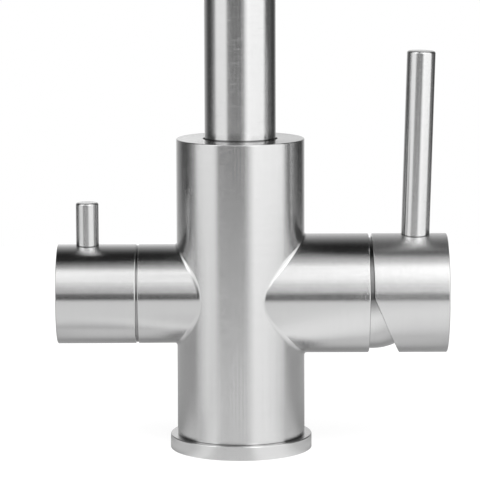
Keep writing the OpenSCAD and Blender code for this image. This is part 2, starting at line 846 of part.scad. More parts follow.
module valve_spindle() color("goldenrod") {
    on_filter_axis() difference() {
        union() {
            translate([-spindle_r, -dog_w / 2, dog_u]) cube([2 * spindle_r, dog_w, dog_h]);
            bar(spindle_flange_r, dog_u + dog_h, spindle_shaft_u);
            bar(spindle_r, spindle_shaft_u, valve_neck_u);
            bar(spindle_clip_r, valve_neck_u, valve_neck_u + clip_h);
            bevelled_bar(spindle_top_r, valve_neck_u + clip_h, spindle_end_u, low = 0);
        }
        for (ring_u = valve_ring_places())
            o_ring_groove(spindle_r, spindle_r + run_gap, valve_ring_d, ring_u);
    }
}

// Where the two rubber rings sit on the spindle, measured back from the neck's end
function valve_ring_places() =
    [for (k = [0, 1]) valve_neck_u - valve_ring_back - k * valve_ring_pitch];

module valve_o_rings() color("black") {
    on_filter_axis() for (ring_u = valve_ring_places())
        o_ring(spindle_r + run_gap, valve_ring_d, ring_u);
}

module valve_clip() color("silver") {
    on_filter_axis() difference() {
        ring(clip_r, spindle_clip_r + seat_gap, valve_neck_u + slide_gap, valve_neck_u + clip_h);
        translate([0, -spindle_clip_r * sin(45), valve_neck_u])
            cube([2 * clip_r, 2 * spindle_clip_r * sin(45), 2 * clip_h]);
    }
}

// Filter handle

module filter_collar() color("gainsboro") {
    out_r = filter_arm_r - collar_inset;
    on_filter_axis() ring(out_r, out_r - collar_wall, filter_arm_reach, knob_u - slide_gap);
}

module filter_knob() color("silver") {
    on_filter_axis() difference() {
        bevelled_bar(filter_arm_r, knob_u, knob_end_u);
        bar(filter_arm_r - knob_wall, knob_u - overrun, knob_floor_u);
        bar(spindle_top_r + seat_gap, knob_floor_u - overrun, spindle_end_u + seat_gap);
        translate([0, 0, knob_end_u - filter_rod_in]) rotate([0, 90, 0]) {
            bar(filter_rod_d / 2 + seat_gap, filter_arm_r - rod_seat, filter_arm_r + overrun);
            bar(filter_tenon_r + seat_gap, filter_arm_r - rod_seat - filter_tenon_l, filter_arm_r);
        }
        translate([0, 0, filter_screw_u]) rotate([0, -90, 0])
            bar(filter_screw_r, 0, filter_arm_r + overrun);
    }
}

module filter_rod() color("silver") {
    translate([filter_rod_in - knob_end_u, 0, arm_axis_h + filter_arm_r]) {
        bevelled_bar(filter_rod_d / 2, -rod_seat, filter_rod_l, low = 0, high = rod_bevel);
        bar(filter_tenon_r, -rod_seat - filter_tenon_l, -rod_seat);
    }
}

module filter_screw() color("dimgray") {
    below_mixer_axis(-filter_screw_u)
        grub_screw(filter_screw_r - seat_gap, spindle_top_r, spindle_top_r + filter_screw_l);
}

module filter_screw_plug() color("darkgray") {
    top = filter_arm_r - plug_sink;
    below_mixer_axis(-filter_screw_u)
        bevelled_bar(filter_screw_r - seat_gap, top - plug_h, top, low = 0);
}

// Spout

// A round line from the riser's foot over the swan neck to the drop's end
module swan_neck(r, foot_z, end_z) {
    bar(r, foot_z, spout_rise);
    translate([0, -spout_bend_r, spout_rise]) rotate([0, -90, 0]) rotate([0, 0, -90])
        rotate_extrude(angle = 180) translate([spout_bend_r, 0]) circle(r = r);
    translate([0, -spout_reach, 0]) bar(r, end_z, spout_rise);
}

// A hollow swan neck, open at both ends
module swan_pipe(out_r, in_r, foot_z, end_z) {
    difference() {
        swan_neck(out_r, foot_z, end_z);
        swan_neck(in_r, foot_z - overrun, end_z - overrun);
    }
}

module spout_tube() color("silver") {
    swan_pipe(spout_r, spout_r - spout_wall, tube_foot, tube_end_z);
}

module filter_pipe() color("aliceblue") {
    swan_pipe(pipe_r - seat_gap, pipe_r - pipe_wall, pipe_seat_z, nozzle_seat_z);
}

// Turned foot of the spout: it turns in the column and carries the pipe's hub on three webs
module spout_foot() color("goldenrod") {
    difference() {
        union() {
            bar(swivel_r, swivel_start, mouth_floor + slide_ring_h);
            bar(mouth_bore_r - run_gap, mouth_floor + slide_ring_h, tube_foot);
            bar(spout_r - spout_wall - seat_gap, tube_foot, tube_foot + tube_plug_h);
        }
        bar(swivel_flow_r, swivel_start - overrun, tube_foot + tube_plug_h + overrun);
        for (z = [lower_o_ring_z, upper_o_ring_z])
            o_ring_groove(swivel_r, swivel_bore_r, o_ring_d, z);
        groove(swivel_r, swivel_r - lock_groove_depth, lock_z, lock_groove_w);
    }
    difference() {
        union() {
            bar(hub_r, hub_start, hub_end);
            for (turn = [30, 150, 270]) rotate(turn)
                translate([0, -hub_web / 2, hub_web_start])
                    cube([swivel_flow_r + seat_gap, hub_web, hub_end - hub_web_start]);
        }
        bar(spigot_r, swivel_start - overrun, spigot_top + run_gap);
        bar(pipe_stop_r, swivel_start, hub_end + overrun);
        bar(pipe_r, pipe_seat_z, hub_end + overrun);
    }
}

module foot_o_rings() color("black") {
    for (z = [lower_o_ring_z, upper_o_ring_z])
        o_ring(swivel_bore_r, o_ring_d, z);
}

module slide_ring() color("whitesmoke") {
    ring(mouth_bore_r - run_gap, swivel_r + seat_gap, mouth_floor + slide_gap, mouth_floor + slide_ring_h);
}

// Outlet

module at_outlet() {
    translate([0, -spout_reach, 0]) children();
}

module aerator_shell() color("silver") {
    at_outlet() difference() {
        union() {
            bevelled_bar(spout_r, outlet_h, tube_end_z);
            bar(sleeve_r, tube_end_z - edge_bevel, tube_end_z + shell_sleeve_h);
        }
        bar(shell_bore_r, core_z, tube_end_z + shell_sleeve_h + overrun);
        bar(shell_bore_r - shell_lip, outlet_h - overrun, core_z + overrun);
    }
}

// Perforated core that lets mixed water out around the filtered water's nozzle
module aerator_core() color("whitesmoke") {
    core_r = shell_bore_r - seat_gap;
    band = core_r - shell_lip - nozzle_r;
    inner_ring_r = nozzle_r + band * jet_band_share;
    outer_ring_r = core_r - shell_lip - band * (1 - jet_band_share) / 2;
    at_outlet() difference() {
        bar(core_r, core_z, core_z + core_h);
        bar(nozzle_r + seat_gap, core_z - overrun, core_z + core_h + overrun);
        jet_ring(inner_ring_r, inner_jets);
        jet_ring(outer_ring_r, outer_jets);
    }
}

module jet_ring(r, count) {
    for (k = [0:count - 1]) rotate(k * 360 / count) translate([r, 0, 0])
        bar(jet_r, core_z - overrun, core_z + core_h + overrun);
}

module aerator_washer() color("black") {
    out_r = shell_bore_r - seat_gap;
    at_outlet() ring(out_r, out_r - washer_wall, core_z + core_h, core_z + core_h + washer_h);
}

module filter_nozzle() color("silver") {
    at_outlet() difference() {
        union() {
            bar(nozzle_r, outlet_h - nozzle_out, nozzle_end_z);
            bar(nozzle_collar_r, core_z + core_h, core_z + core_h + washer_h);
        }
        bar(nozzle_flow_r, outlet_h - nozzle_out - overrun, nozzle_seat_z);
        bar(pipe_r, nozzle_seat_z, nozzle_end_z + overrun);
        bar(pipe_stop_r, nozzle_seat_z - overrun, nozzle_seat_z + overrun);
    }
}

body();
base_ring();
base_seal();
inlet_block();
filter_spigot();
spigot_o_ring();
spout_lock_screw();
cartridge_base();
port_seals();
cartridge_casing();
mixer_fixed_disc();
clamp_nut();
dome_cover();
valve_casing();
valve_seat_seal();
valve_fixed_disc();
filter_collar();
cartridge_rotor();
pivot_pin();
mixer_moving_disc();
disc_carrier();
lever_stem();
mixer_cap();
mixer_rod();
mixer_screw();
mixer_screw_plug();
valve_spindle();
valve_moving_disc();
valve_o_rings();
valve_clip();
filter_knob();
filter_rod();
filter_screw();
filter_screw_plug();
spout_tube();
spout_foot();
foot_o_rings();
slide_ring();
filter_pipe();
aerator_shell();
aerator_core();
aerator_washer();
filter_nozzle();
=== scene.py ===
"""Skins, finishes and studio of a three way kitchen tap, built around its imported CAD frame.

Lengths are in metres in the frame's own axes: +Z up, -Y towards the user, origin on the worktop
under the column. Every new piece is a surface worked out from a formula, and every finish is a
node tree.
"""

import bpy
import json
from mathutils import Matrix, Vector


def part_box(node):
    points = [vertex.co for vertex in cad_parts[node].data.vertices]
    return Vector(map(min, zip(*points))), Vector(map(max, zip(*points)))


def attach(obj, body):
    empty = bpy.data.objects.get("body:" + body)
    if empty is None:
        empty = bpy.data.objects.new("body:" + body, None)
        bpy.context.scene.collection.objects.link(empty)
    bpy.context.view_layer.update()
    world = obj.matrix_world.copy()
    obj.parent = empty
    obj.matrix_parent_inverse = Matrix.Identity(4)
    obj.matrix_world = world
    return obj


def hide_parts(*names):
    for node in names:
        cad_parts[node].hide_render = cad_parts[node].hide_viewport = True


bl_info = {
    "name": "Three way filtered water tap",
    "version": (1, 0, 0),
    "blender": (4, 5, 0),
    "location": "View3D > Sidebar > Tap",
    "description": "Dresses the packed frame of a three way kitchen tap in its steel",
    "category": "Object",
}

import json
import math

import bpy
import numpy as np

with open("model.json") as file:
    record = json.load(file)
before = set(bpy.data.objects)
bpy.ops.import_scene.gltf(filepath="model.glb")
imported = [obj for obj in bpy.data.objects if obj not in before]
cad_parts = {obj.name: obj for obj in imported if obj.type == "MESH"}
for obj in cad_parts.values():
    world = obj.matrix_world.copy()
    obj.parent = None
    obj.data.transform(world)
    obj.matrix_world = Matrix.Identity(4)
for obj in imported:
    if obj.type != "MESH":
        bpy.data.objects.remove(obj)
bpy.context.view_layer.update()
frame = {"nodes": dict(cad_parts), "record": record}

# Places read from the frame

BODY_LOW, BODY_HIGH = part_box("body")
KNOB_LOW, KNOB_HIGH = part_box("filter_knob")
TUBE_LOW, TUBE_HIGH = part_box("spout_tube")
RING_HIGH, CAP_HIGH, SHELL_HIGH = (
    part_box(name)[1] for name in ("base_ring", "mixer_cap", "aerator_shell"))
ARM_AXIS_H = (KNOB_LOW.z + KNOB_HIGH.z) / 2

FULL_TURN = 2 * math.pi
RIGHT_ANGLE = math.pi / 2
DEGREES = 180 / math.pi


# Sizes, finishes and studio settings that a user would change


class TapSizes(bpy.types.PropertyGroup):
    """Lengths of the tap's visible pieces."""

    column_r: bpy.props.FloatProperty(
        name="Column radius", description="Radius of the upright column",
        default=BODY_HIGH.y, unit="LENGTH", precision=4)
    mixer_r: bpy.props.FloatProperty(
        name="Mixer arm radius", description="Radius of the mixer arm and of the mixer cap",
        default=CAP_HIGH.y, unit="LENGTH", precision=4)
    filter_r: bpy.props.FloatProperty(
        name="Filter arm radius", description="Radius of the filter arm and of the filter knob",
        default=KNOB_HIGH.y, unit="LENGTH", precision=4)
    weld_r: bpy.props.FloatProperty(
        name="Weld radius", description="Radius of the dressed weld above and below each arm",
        default=0.0009, unit="LENGTH", precision=4)
    weld_front_r: bpy.props.FloatProperty(
        name="Weld radius in front", description="Radius of the dressed weld at each arm's sides",
        default=0.0026, unit="LENGTH", precision=4)
    rim_r: bpy.props.FloatProperty(
        name="Rim radius", description="Rounding of the turned pieces' outer edges",
        default=0.0004, unit="LENGTH", precision=4)
    mixer_rod_r: bpy.props.FloatProperty(
        name="Mixer rod radius", description="Radius of the mixer lever rod",
        default=0.005, unit="LENGTH", precision=4)
    mixer_rod_l: bpy.props.FloatProperty(
        name="Mixer rod length", description="Length of the mixer lever rod above the cap",
        default=0.0645, unit="LENGTH", precision=4)
    mixer_rod_lean: bpy.props.FloatProperty(
        name="Mixer rod lean", description="Outward lean of the mixer lever rod",
        default=math.radians(1.6), subtype="ANGLE")
    rod_end_r: bpy.props.FloatProperty(
        name="Rod end radius", description="Rounding of the lever rods' upper ends",
        default=0.0008, unit="LENGTH", precision=4)
    tube_r: bpy.props.FloatProperty(
        name="Spout radius", description="Outer radius of the spout tube",
        default=TUBE_HIGH.x, unit="LENGTH", precision=4)
    tube_wall: bpy.props.FloatProperty(
        name="Spout wall", description="Wall of the spout tube",
        default=0.0012, unit="LENGTH", precision=4)


class TapFinish(bpy.types.PropertyGroup):
    """Colours and surface of the tap's finishes."""

    steel: bpy.props.FloatVectorProperty(
        name="Steel", description="Colour of the brushed stainless steel", subtype="COLOR",
        default=(0.65, 0.65, 0.65))
    steel_roughness: bpy.props.FloatProperty(
        name="Steel roughness", description="Roughness of the brushed steel between its scratches",
        default=0.17, subtype="FACTOR", min=0, max=1)
    scratch_depth: bpy.props.FloatProperty(
        name="Scratch depth", description="Depth of the streaks that can be seen in the brushing",
        default=0.0000025, unit="LENGTH", precision=7)
    scratch_slope: bpy.props.FloatProperty(
        name="Scratch slope", description="Steepness of the scratches that are too fine to see",
        default=0.27)
    brass: bpy.props.FloatVectorProperty(
        name="Brass", description="Colour of the turned brass", subtype="COLOR",
        default=(0.74, 0.56, 0.30))
    rubber: bpy.props.FloatVectorProperty(
        name="Rubber", description="Colour of the seals", subtype="COLOR",
        default=(0.025, 0.025, 0.026))
    ceramic: bpy.props.FloatVectorProperty(
        name="Ceramic", description="Colour of the ceramic discs", subtype="COLOR",
        default=(0.86, 0.86, 0.83))


class TapStudio(bpy.types.PropertyGroup):
    """Camera and lighting of the studio."""

    camera_distance: bpy.props.FloatProperty(
        name="Camera distance", description="Distance of the camera in front of the column's axis",
        default=0.975, unit="LENGTH")
    camera_height: bpy.props.FloatProperty(
        name="Camera height", description="Height of the camera above the worktop",
        default=0.2161, unit="LENGTH")
    camera_pitch: bpy.props.FloatProperty(
        name="Camera pitch", description="Angle by which the camera looks down",
        default=math.radians(8.295), subtype="ANGLE")
    camera_roll: bpy.props.FloatProperty(
        name="Camera roll", description="Turn of the camera about its own line of sight",
        default=-0.0035, subtype="ANGLE")
    focal_length: bpy.props.FloatProperty(
        name="Focal length", description="Focal length on a 36 mm sensor, in millimetres",
        default=209.8)
    table_r: bpy.props.FloatProperty(
        name="Table radius", description="Radius of the pale round table that the tap stands on",
        default=0.5, unit="LENGTH")


# Surfaces

# Points weld on a grid of this step, shifted by a part of it to keep round numbers off its edges
WELD_STEP, WELD_SHIFT = 1e-7, 0.31
ARC_STEPS = 6
# A screw hole's rings, and how many cells of the wall it takes up to each side
HOLE_RINGS, HOLE_CELLS = 5, 5


def vectors(*coordinates):
    """One array of vectors from their coordinates, whose shapes may widen each other."""
    return np.stack(np.broadcast_arrays(*coordinates), -1)


class Surface:
    """Patches of points with their normals and brushing, joined into one closed mesh.

    Brushing runs round each piece's own axis. It is kept as two vectors at every corner: "grain",
    the place in the piece's straight frame with (length along the axis) - (distance from it) as its
    third coordinate, so that rings stay apart on walls and end faces alike, and "around", the unit
    vector (-y, x, 0) / distance along the scratches.
    """

    def __init__(self):
        self.parts, self.count = [], 0

    def patch(self, points, normals, local, axis, around=None):
        """Adds a grid of points, shaped rows x columns x 3, as quads between its neighbours."""
        rows, columns = points.shape[:2]
        index = np.arange(rows * columns).reshape(rows, columns) + self.count
        quads = vectors(index[:-1, :-1], index[1:, :-1], index[1:, 1:], index[:-1, 1:])
        x, y, z = np.moveaxis(local, -1, 0)
        distance = np.hypot(x, y)
        if around is None:
            around = axis.turn(vectors(-y, x, 0.0) / np.maximum(distance, WELD_STEP)[..., None])
        grids = points, np.broadcast_to(normals, points.shape), vectors(x, y, z - distance), around
        self.parts.append([*(grid.reshape(-1, 3) for grid in grids), quads.reshape(-1, 4)])
        self.count += rows * columns

    def lay(self, axis, local, normals):
        """Adds a grid that is given, with its normals, in the straight frame of an axis."""
        self.patch(axis.place(local), axis.turn(normals), local, axis)

    def build(self, name, material):
        """Turns each quad to face along its normals, welds equal points, drops quads with no area,
        and gives every corner its own exact normal."""
        points, normals, grain, around, quads = (
            np.concatenate(parts) for parts in zip(*self.parts))
        corner = points[quads]
        facing = np.cross(corner[:, 2] - corner[:, 0], corner[:, 3] - corner[:, 1])
        inward = (facing * normals[quads].sum(1)).sum(1) < 0
        quads[inward] = quads[inward][:, ::-1]
        places = np.floor(points / WELD_STEP + WELD_SHIFT).astype(np.int64)
        _, first, welded = np.unique(places, axis=0, return_index=True, return_inverse=True)
        corners = welded.reshape(-1)[quads]
        kept = corners != np.roll(corners, 1, axis=1)
        whole = kept.sum(1) > 2
        quads, corners, kept = quads[whole], corners[whole], kept[whole]
        starts = np.concatenate([[0], np.cumsum(kept.sum(1))[:-1]])
        mesh = bpy.data.meshes.new(name)
        mesh.vertices.add(len(first))
        mesh.vertices.foreach_set("co", points[first].astype(np.float32).ravel())
        mesh.loops.add(int(kept.sum()))
        mesh.loops.foreach_set("vertex_index", corners[kept].astype(np.int32))
        mesh.polygons.add(len(starts))
        mesh.polygons.foreach_set("loop_start", starts.astype(np.int32))
        mesh.polygons.foreach_set("use_smooth", np.ones(len(starts), bool))
        mesh.update(calc_edges=True)
        for attribute, values in (("grain", grain), ("around", around)):
            made = mesh.attributes.new(attribute, "FLOAT_VECTOR", "CORNER")
            made.data.foreach_set("vector", values[quads[kept]].astype(np.float32).ravel())
        mesh.normals_split_custom_set(normals[quads[kept]])
        mesh.materials.append(material)
        piece = bpy.data.objects.new(name, mesh)
        bpy.context.scene.collection.objects.link(piece)
        return piece


class Axis:
    """A straight frame: its origin, and the directions of its first, second and turning axis."""

    def __init__(self, origin, rows):
        self.origin, self.rows = np.array(origin, float), np.array(rows, float)

    def place(self, local):
        return local @ self.rows + self.origin

    def turn(self, local):
        return local @ self.rows


ARM_MIDDLE = (0, 0, ARM_AXIS_H)
UPRIGHT = Axis((0, 0, 0), ((1, 0, 0), (0, 1, 0), (0, 0, 1)))
MIXER_AXIS = Axis(ARM_MIDDLE, ((0, 1, 0), (0, 0, 1), (1, 0, 0)))
FILTER_AXIS = Axis(ARM_MIDDLE, ((0, -1, 0), (0, 0, 1), (-1, 0, 0)))


def full_turn(count, start=0.0):
    """Angles of a full turn, with the first repeated at the end so that the seam closes."""
    return np.linspace(start, start + FULL_TURN, count + 1)


def rounded(corners, radii, steps=ARC_STEPS, closed=True, lead_in=0, lead_out=0):
    """Outline of (distance from the axis, place along it) with each corner turned into an arc.

    The arc of radius r touches both sides at r tan(half the turn) from the corner. The outline runs
    so that its outside is on the right hand. Returns the points and their unit normals. A radius of
    zero keeps the corner sharp, with both sides' normals. Corners that lead in to an open outline,
    or out of it, only give its direction there.
    """
    corner, radius = np.array(corners, float), np.array(radii, float)
    into = corner - np.roll(corner, 1, axis=0)
    out = np.roll(corner, -1, axis=0) - corner
    if not closed:
        into[0], out[-1] = out[0], into[-1]
    into /= np.linalg.norm(into, axis=1, keepdims=True)
    out /= np.linalg.norm(out, axis=1, keepdims=True)
    bend = np.arctan2(into[:, 0] * out[:, 1] - into[:, 1] * out[:, 0], (into * out).sum(1))
    cut = radius * np.tan(np.abs(bend) / 2)
    side = vectors(into[:, 1], -into[:, 0])
    start = corner - into * cut[:, None]
    angle = bend[:, None] * np.linspace(0, 1, steps + 1)
    cos, sin = np.cos(angle), np.sin(angle)
    normal = vectors(side[:, :1] * cos - side[:, 1:] * sin, side[:, :1] * sin + side[:, 1:] * cos)
    signed = (np.sign(bend) * radius)[:, None, None]
    points = start[:, None] + signed * (normal - side[:, None])
    whole = slice(lead_in, len(corner) - lead_out)
    points, normal = points[whole].reshape(-1, 2), normal[whole].reshape(-1, 2)
    if closed:
        points, normal = np.concatenate([points, points[:1]]), np.concatenate([normal, normal[:1]])
    return points, normal


def turned(surface, outline, axis, angles):
    """Carries an outline round the axis: (d cos t, d sin t, w) for each outline point (d, w).

    The points and normals are shaped rows x 2, or rows x angles x 2 where they change on the way.
    """

    def swept(values):
        values = values if values.ndim == 3 else values[:, None]
        across, along = values[..., 0], values[..., 1]
        return vectors(across * np.cos(angles), across * np.sin(angles), along)

    points, normals = outline
    surface.lay(axis, swept(points), swept(normals))


def wall(surface, axis, radius, angles, levels):
    """A plain stretch of cylinder wall on the given grid lines."""
    turned(surface, (vectors(radius, levels), vectors(1.0, 0 * levels)), axis, angles)


def grid_edge(across, along):
    """The points on the four sides of a grid, once round from its first corner and back to it."""
    return np.concatenate([
        vectors(across, along[0])[:-1],
        vectors(across[-1], along)[:-1],
        vectors(across[::-1], along[-1])[:-1],
        vectors(across[0], along[::-1]),
    ])


def pierced(surface, axis, radius, angles, levels, hole):
    """A stretch of cylinder wall with a round hole drilled straight in to a flat floor.

    Angles and levels are the wall's grid lines, which the outer ring of the O shaped grid follows.
    The hole is (level, radius, depth), and stands at the middle angle. Its edge at angle p is at
    (radius cos p) across and (radius sin p) along, and the wall between runs in straight lines on
    the unrolled cylinder from that edge to the outer ring.
    """
    (hole_level, hole_r, depth), hole_angle = hole, angles[HOLE_CELLS]
    outer = grid_edge((angles - hole_angle) * radius, levels - hole_level)
    bearing = np.arctan2(outer[:, 1], outer[:, 0])
    flat = hole_r * vectors(np.cos(bearing), np.sin(bearing))
    inner = vectors(radius * np.arcsin(flat[:, 0] / radius), flat[:, 1])
    share = np.linspace(0, 1, HOLE_RINGS + 1)[:, None, None]
    grid = inner * (1 - share) + outer * share
    angle = hole_angle + grid[..., 0] / radius
    cos, sin = np.cos(angle), np.sin(angle)
    surface.lay(axis, vectors(radius * cos, radius * sin, hole_level + grid[..., 1]),
                vectors(cos, sin, 0.0))
    forward = np.array([math.cos(hole_angle), math.sin(hole_angle), 0])
    sideways = np.array([-math.sin(hole_angle), math.cos(hole_angle), 0])
    upward, middle = np.array([0, 0, 1.0]), np.array([0, 0, hole_level])
    spokes = flat[:, :1] * sideways + flat[:, 1:] * upward
    rim = np.sqrt(radius**2 - flat[:, 0] ** 2)[:, None] * forward
    floor = (radius - depth) * forward
    shaft = np.stack([spokes + middle + rim, spokes + middle + floor])
    surface.lay(axis, shaft, -spokes / hole_r)
    bed = np.stack([shaft[1], 0 * spokes + (floor + middle)])
    surface.lay(axis, bed, forward)


def drilled_barrel(surface, axis, radius, angles, start, end, hole):
    """A barrel's wall from start to end, with a hole (level, radius, depth) at the middle angle.

    The wall is plain up to a square window of grid cells round the hole, which pierced() fills.
    """
    middle = len(angles) // 2
    first, last = middle - HOLE_CELLS, middle + HOLE_CELLS
    reach = HOLE_CELLS * (FULL_TURN * radius / (len(angles) - 1))
    window = np.linspace(hole[0] - reach, hole[0] + reach, 2 * HOLE_CELLS + 1)
    levels = np.concatenate([[start], window, [end]])
    beside = angles[first:last + 1]
    for stretch, lines in ((angles[:first + 1], levels), (angles[last:], levels),
                           (beside, levels[:2]), (beside, levels[-2:])):
        wall(surface, axis, radius, stretch, lines)
    pierced(surface, axis, radius, beside, window, hole)


# Column and arms

HALF_CELLS = 88
SIDE_CELLS = 104
BAND_RINGS = 24
WELD_RINGS = 8
ARM_STEPS = 3
BAND_TOP = 0.088
# Screw holes are given as (level, radius, depth)
LOCK_HOLE = (0.0975, 0.0025, 0.0096)
MOUTH_R, MOUTH_FLOOR = 0.0131, 0.103
SWIVEL_R, SWIVEL_FLOOR = 0.01258, 0.080
FOOT_R, FOOT_TOP = 0.018, 0.032
MIXER_MOUTH_R, MIXER_MOUTH_END, MIXER_SOCKET_R, MIXER_SOCKET_END = 0.0196, 0.036, 0.0177, 0.014
FILTER_MOUTH_R, FILTER_MOUTH_END = 0.011, 0.016
INNER_EDGE_R = 0.00015


def arm_joint(surface, sizes, side, axis, arm_r, mouth):
    """Half of the column round one arm, the dressed weld, and the arm out to its mouth.

    A ball of radius q = top + (front - top) sin(p)^2 rolls along the joint of column R and arm r.
    With p the angle round the arm, its centre is at y = (r + q) sin p, height (r + q) cos p, and
    x = sqrt((R + q)^2 - y^2). It touches the column at (x, y) R / (R + q) and the arm at
    (y, height) r / (r + q), and the weld's face is the arc on the ball between the two. The
    column's half is an O shaped grid in straight lines from the touch curve to the edges of the
    unrolled half, and the arm runs straight from its touch curve to the mouth.
    """
    column_r = sizes.column_r
    half = column_r * RIGHT_ANGLE
    low, high = BODY_LOW.z - ARM_AXIS_H, BAND_TOP - ARM_AXIS_H
    edge = grid_edge(np.linspace(-half, half, HALF_CELLS + 1),
                     np.linspace(low, high, SIDE_CELLS + 1)[::-1])
    turn = np.arctan2(edge[:, 0], edge[:, 1])
    sin, cos = np.sin(turn), np.cos(turn)
    ball_r = sizes.weld_r + (sizes.weld_front_r - sizes.weld_r) * sin**2
    centre = vectors(np.sqrt((column_r + ball_r) ** 2 - ((arm_r + ball_r) * sin) ** 2),
                     (arm_r + ball_r) * sin, (arm_r + ball_r) * cos)
    shrink = column_r / (column_r + ball_r)
    on_column = centre * vectors(shrink, shrink, 1.0)
    start = vectors(column_r * np.arctan2(on_column[:, 1], on_column[:, 0]), on_column[:, 2])
    share = np.linspace(0, 1, BAND_RINGS + 1)[:, None, None]
    grid = start * (1 - share) + edge * share
    bearing = grid[..., 0] / column_r
    out = vectors(side * np.cos(bearing), np.sin(bearing), 0.0)
    points = column_r * out + vectors(0.0, 0.0, grid[..., 1] + ARM_AXIS_H)
    surface.patch(points, out, points, UPRIGHT)

    def seen_along(x, y, height):
        """Turns places out, across and above the arm's middle into the axis's straight frame."""
        return vectors(side * y, height, x)

    ball_r = ball_r[:, None]
    to_column = (on_column - centre) / ball_r
    to_arm = vectors(0.0, -sin, -cos)
    angle = np.arccos(np.clip((to_column * to_arm).sum(-1), -1, 1))[:, None]
    step = np.linspace(0, 1, WELD_RINGS + 1)[:, None, None]
    ray = (np.sin((1 - step) * angle) * to_column + np.sin(step * angle) * to_arm) / np.sin(angle)
    surface.lay(axis, *(seen_along(*np.moveaxis(values, -1, 0))
                        for values in (centre + ball_r * ray, -ray)))

    mouth_points, mouth_normals = (np.repeat(values[:, None], len(turn), 1) for values in mouth)
    step = np.linspace(0, 1, ARM_STEPS + 1)[:, None]
    along = centre[:, 0] * (1 - step) + mouth_points[0, :, 1] * step
    points = np.concatenate([vectors(arm_r, along), mouth_points[1:]])
    out = np.concatenate([vectors(1.0, 0 * along), mouth_normals[1:]])
    surface.lay(axis, *(seen_along(values[..., 1], values[..., 0] * sin, values[..., 0] * cos)
                        for values in (points, out)))


def body_skin(sizes):
    """The column with both arms in one closed skin, with its mouths, foot bore and screw hole."""
    surface = Surface()
    column_r, top, rim = sizes.column_r, BODY_HIGH.z, sizes.rim_r
    arm_joint(surface, sizes, 1, MIXER_AXIS, sizes.mixer_r, rounded(
        [(sizes.mixer_r, 0), (sizes.mixer_r, BODY_HIGH.x), (MIXER_MOUTH_R, BODY_HIGH.x),
         (MIXER_MOUTH_R, MIXER_MOUTH_END), (MIXER_SOCKET_R, MIXER_MOUTH_END),
         (MIXER_SOCKET_R, MIXER_SOCKET_END), (0, MIXER_SOCKET_END)],
        [0, rim, INNER_EDGE_R, 0, 0, 0, 0], closed=False, lead_in=1))
    arm_joint(surface, sizes, -1, FILTER_AXIS, sizes.filter_r, rounded(
        [(sizes.filter_r, 0), (sizes.filter_r, -BODY_LOW.x), (FILTER_MOUTH_R, -BODY_LOW.x),
         (FILTER_MOUTH_R, FILTER_MOUTH_END), (0, FILTER_MOUTH_END)],
        [0, rim, INNER_EDGE_R, 0, 0], closed=False, lead_in=1))
    angles = full_turn(2 * HALF_CELLS, -RIGHT_ANGLE)
    drilled_barrel(surface, UPRIGHT, column_r, angles, BAND_TOP, top - rim, LOCK_HOLE)
    crown = rounded(
        [(column_r, top - 2 * rim), (column_r, top), (MOUTH_R, top), (MOUTH_R, MOUTH_FLOOR),
         (SWIVEL_R, MOUTH_FLOOR), (SWIVEL_R, SWIVEL_FLOOR), (0, SWIVEL_FLOOR)],
        [0, rim, INNER_EDGE_R, 0, 0, 0, 0], closed=False, lead_in=1)
    foot = rounded(
        [(0, FOOT_TOP), (FOOT_R, FOOT_TOP), (FOOT_R, BODY_LOW.z), (column_r, BODY_LOW.z)],
        [0, 0, 0, 0], closed=False)
    for outline in (crown, foot):
        turned(surface, outline, UPRIGHT, angles)
    return surface


# Turned pieces

RING_BORE_R = 0.0165
RING_SPIGOT_R = 0.01797
GROOVE_OUT_R, GROOVE_IN_R, GROOVE_H = 0.0225, 0.0195, 0.002
TURN_CELLS, ROD_CELLS = 160, 96
ROD_END_STEPS = 8


def base_ring(sizes):
    """The foot ring, with its spigot and seal groove, as one outline carried round the column."""
    surface = Surface()
    out_r, h, top = RING_HIGH.x, BODY_LOW.z, RING_HIGH.z
    fine, rim = INNER_EDGE_R, sizes.rim_r
    outline = rounded(
        [(GROOVE_OUT_R, 0), (out_r, 0), (out_r, h), (RING_SPIGOT_R, h), (RING_SPIGOT_R, top),
         (RING_BORE_R, top), (RING_BORE_R, 0), (GROOVE_IN_R, 0), (GROOVE_IN_R, GROOVE_H),
         (GROOVE_OUT_R, GROOVE_H)],
        [0, fine, rim, 0, 0, 0, fine, 0, 0, 0])
    turned(surface, outline, UPRIGHT, full_turn(TURN_CELLS))
    return surface


KNOB_WALL = 0.0022
KNOB_FLOOR = 0.0475
KNOB_HOLE = (0.0515, 0.002, 0.004)


def handle_barrel(surface, axis, radius, rim, start, far, hole):
    """A handle's outer wall from start, with its screw hole underneath, and its closed far end."""
    angles = full_turn(TURN_CELLS, RIGHT_ANGLE)
    drilled_barrel(surface, axis, radius, angles, start, far - rim, hole)
    turned(surface, rounded([(radius, far - 2 * rim), (radius, far), (0, far)], [0, rim, 0],
                            closed=False, lead_in=1), axis, angles)
    return angles


def filter_knob(sizes):
    """The hollow filter knob: its barrel, then one outline for the near end and the hollow."""
    surface = Surface()
    radius, rim, near = sizes.filter_r, sizes.rim_r, -KNOB_HIGH.x
    inner = radius - KNOB_WALL
    angles = handle_barrel(surface, FILTER_AXIS, radius, rim, near + rim, -KNOB_LOW.x, KNOB_HOLE)
    turned(surface, rounded(
        [(0, KNOB_FLOOR), (inner, KNOB_FLOOR), (inner, near), (radius, near),
         (radius, near + 2 * rim)],
        [0, 0, INNER_EDGE_R, rim, 0], closed=False, lead_out=1), FILTER_AXIS, angles)
    return surface


def rod(axis, radius, foot, end, end_r):
    """A round rod from foot to end, with its end's edge rounded."""
    surface = Surface()
    outline = rounded([(0, foot), (radius, foot), (radius, end), (0, end)], [0, 0, end_r, 0],
                      steps=ROD_END_STEPS, closed=False)
    turned(surface, outline, axis, full_turn(ROD_CELLS))
    return surface


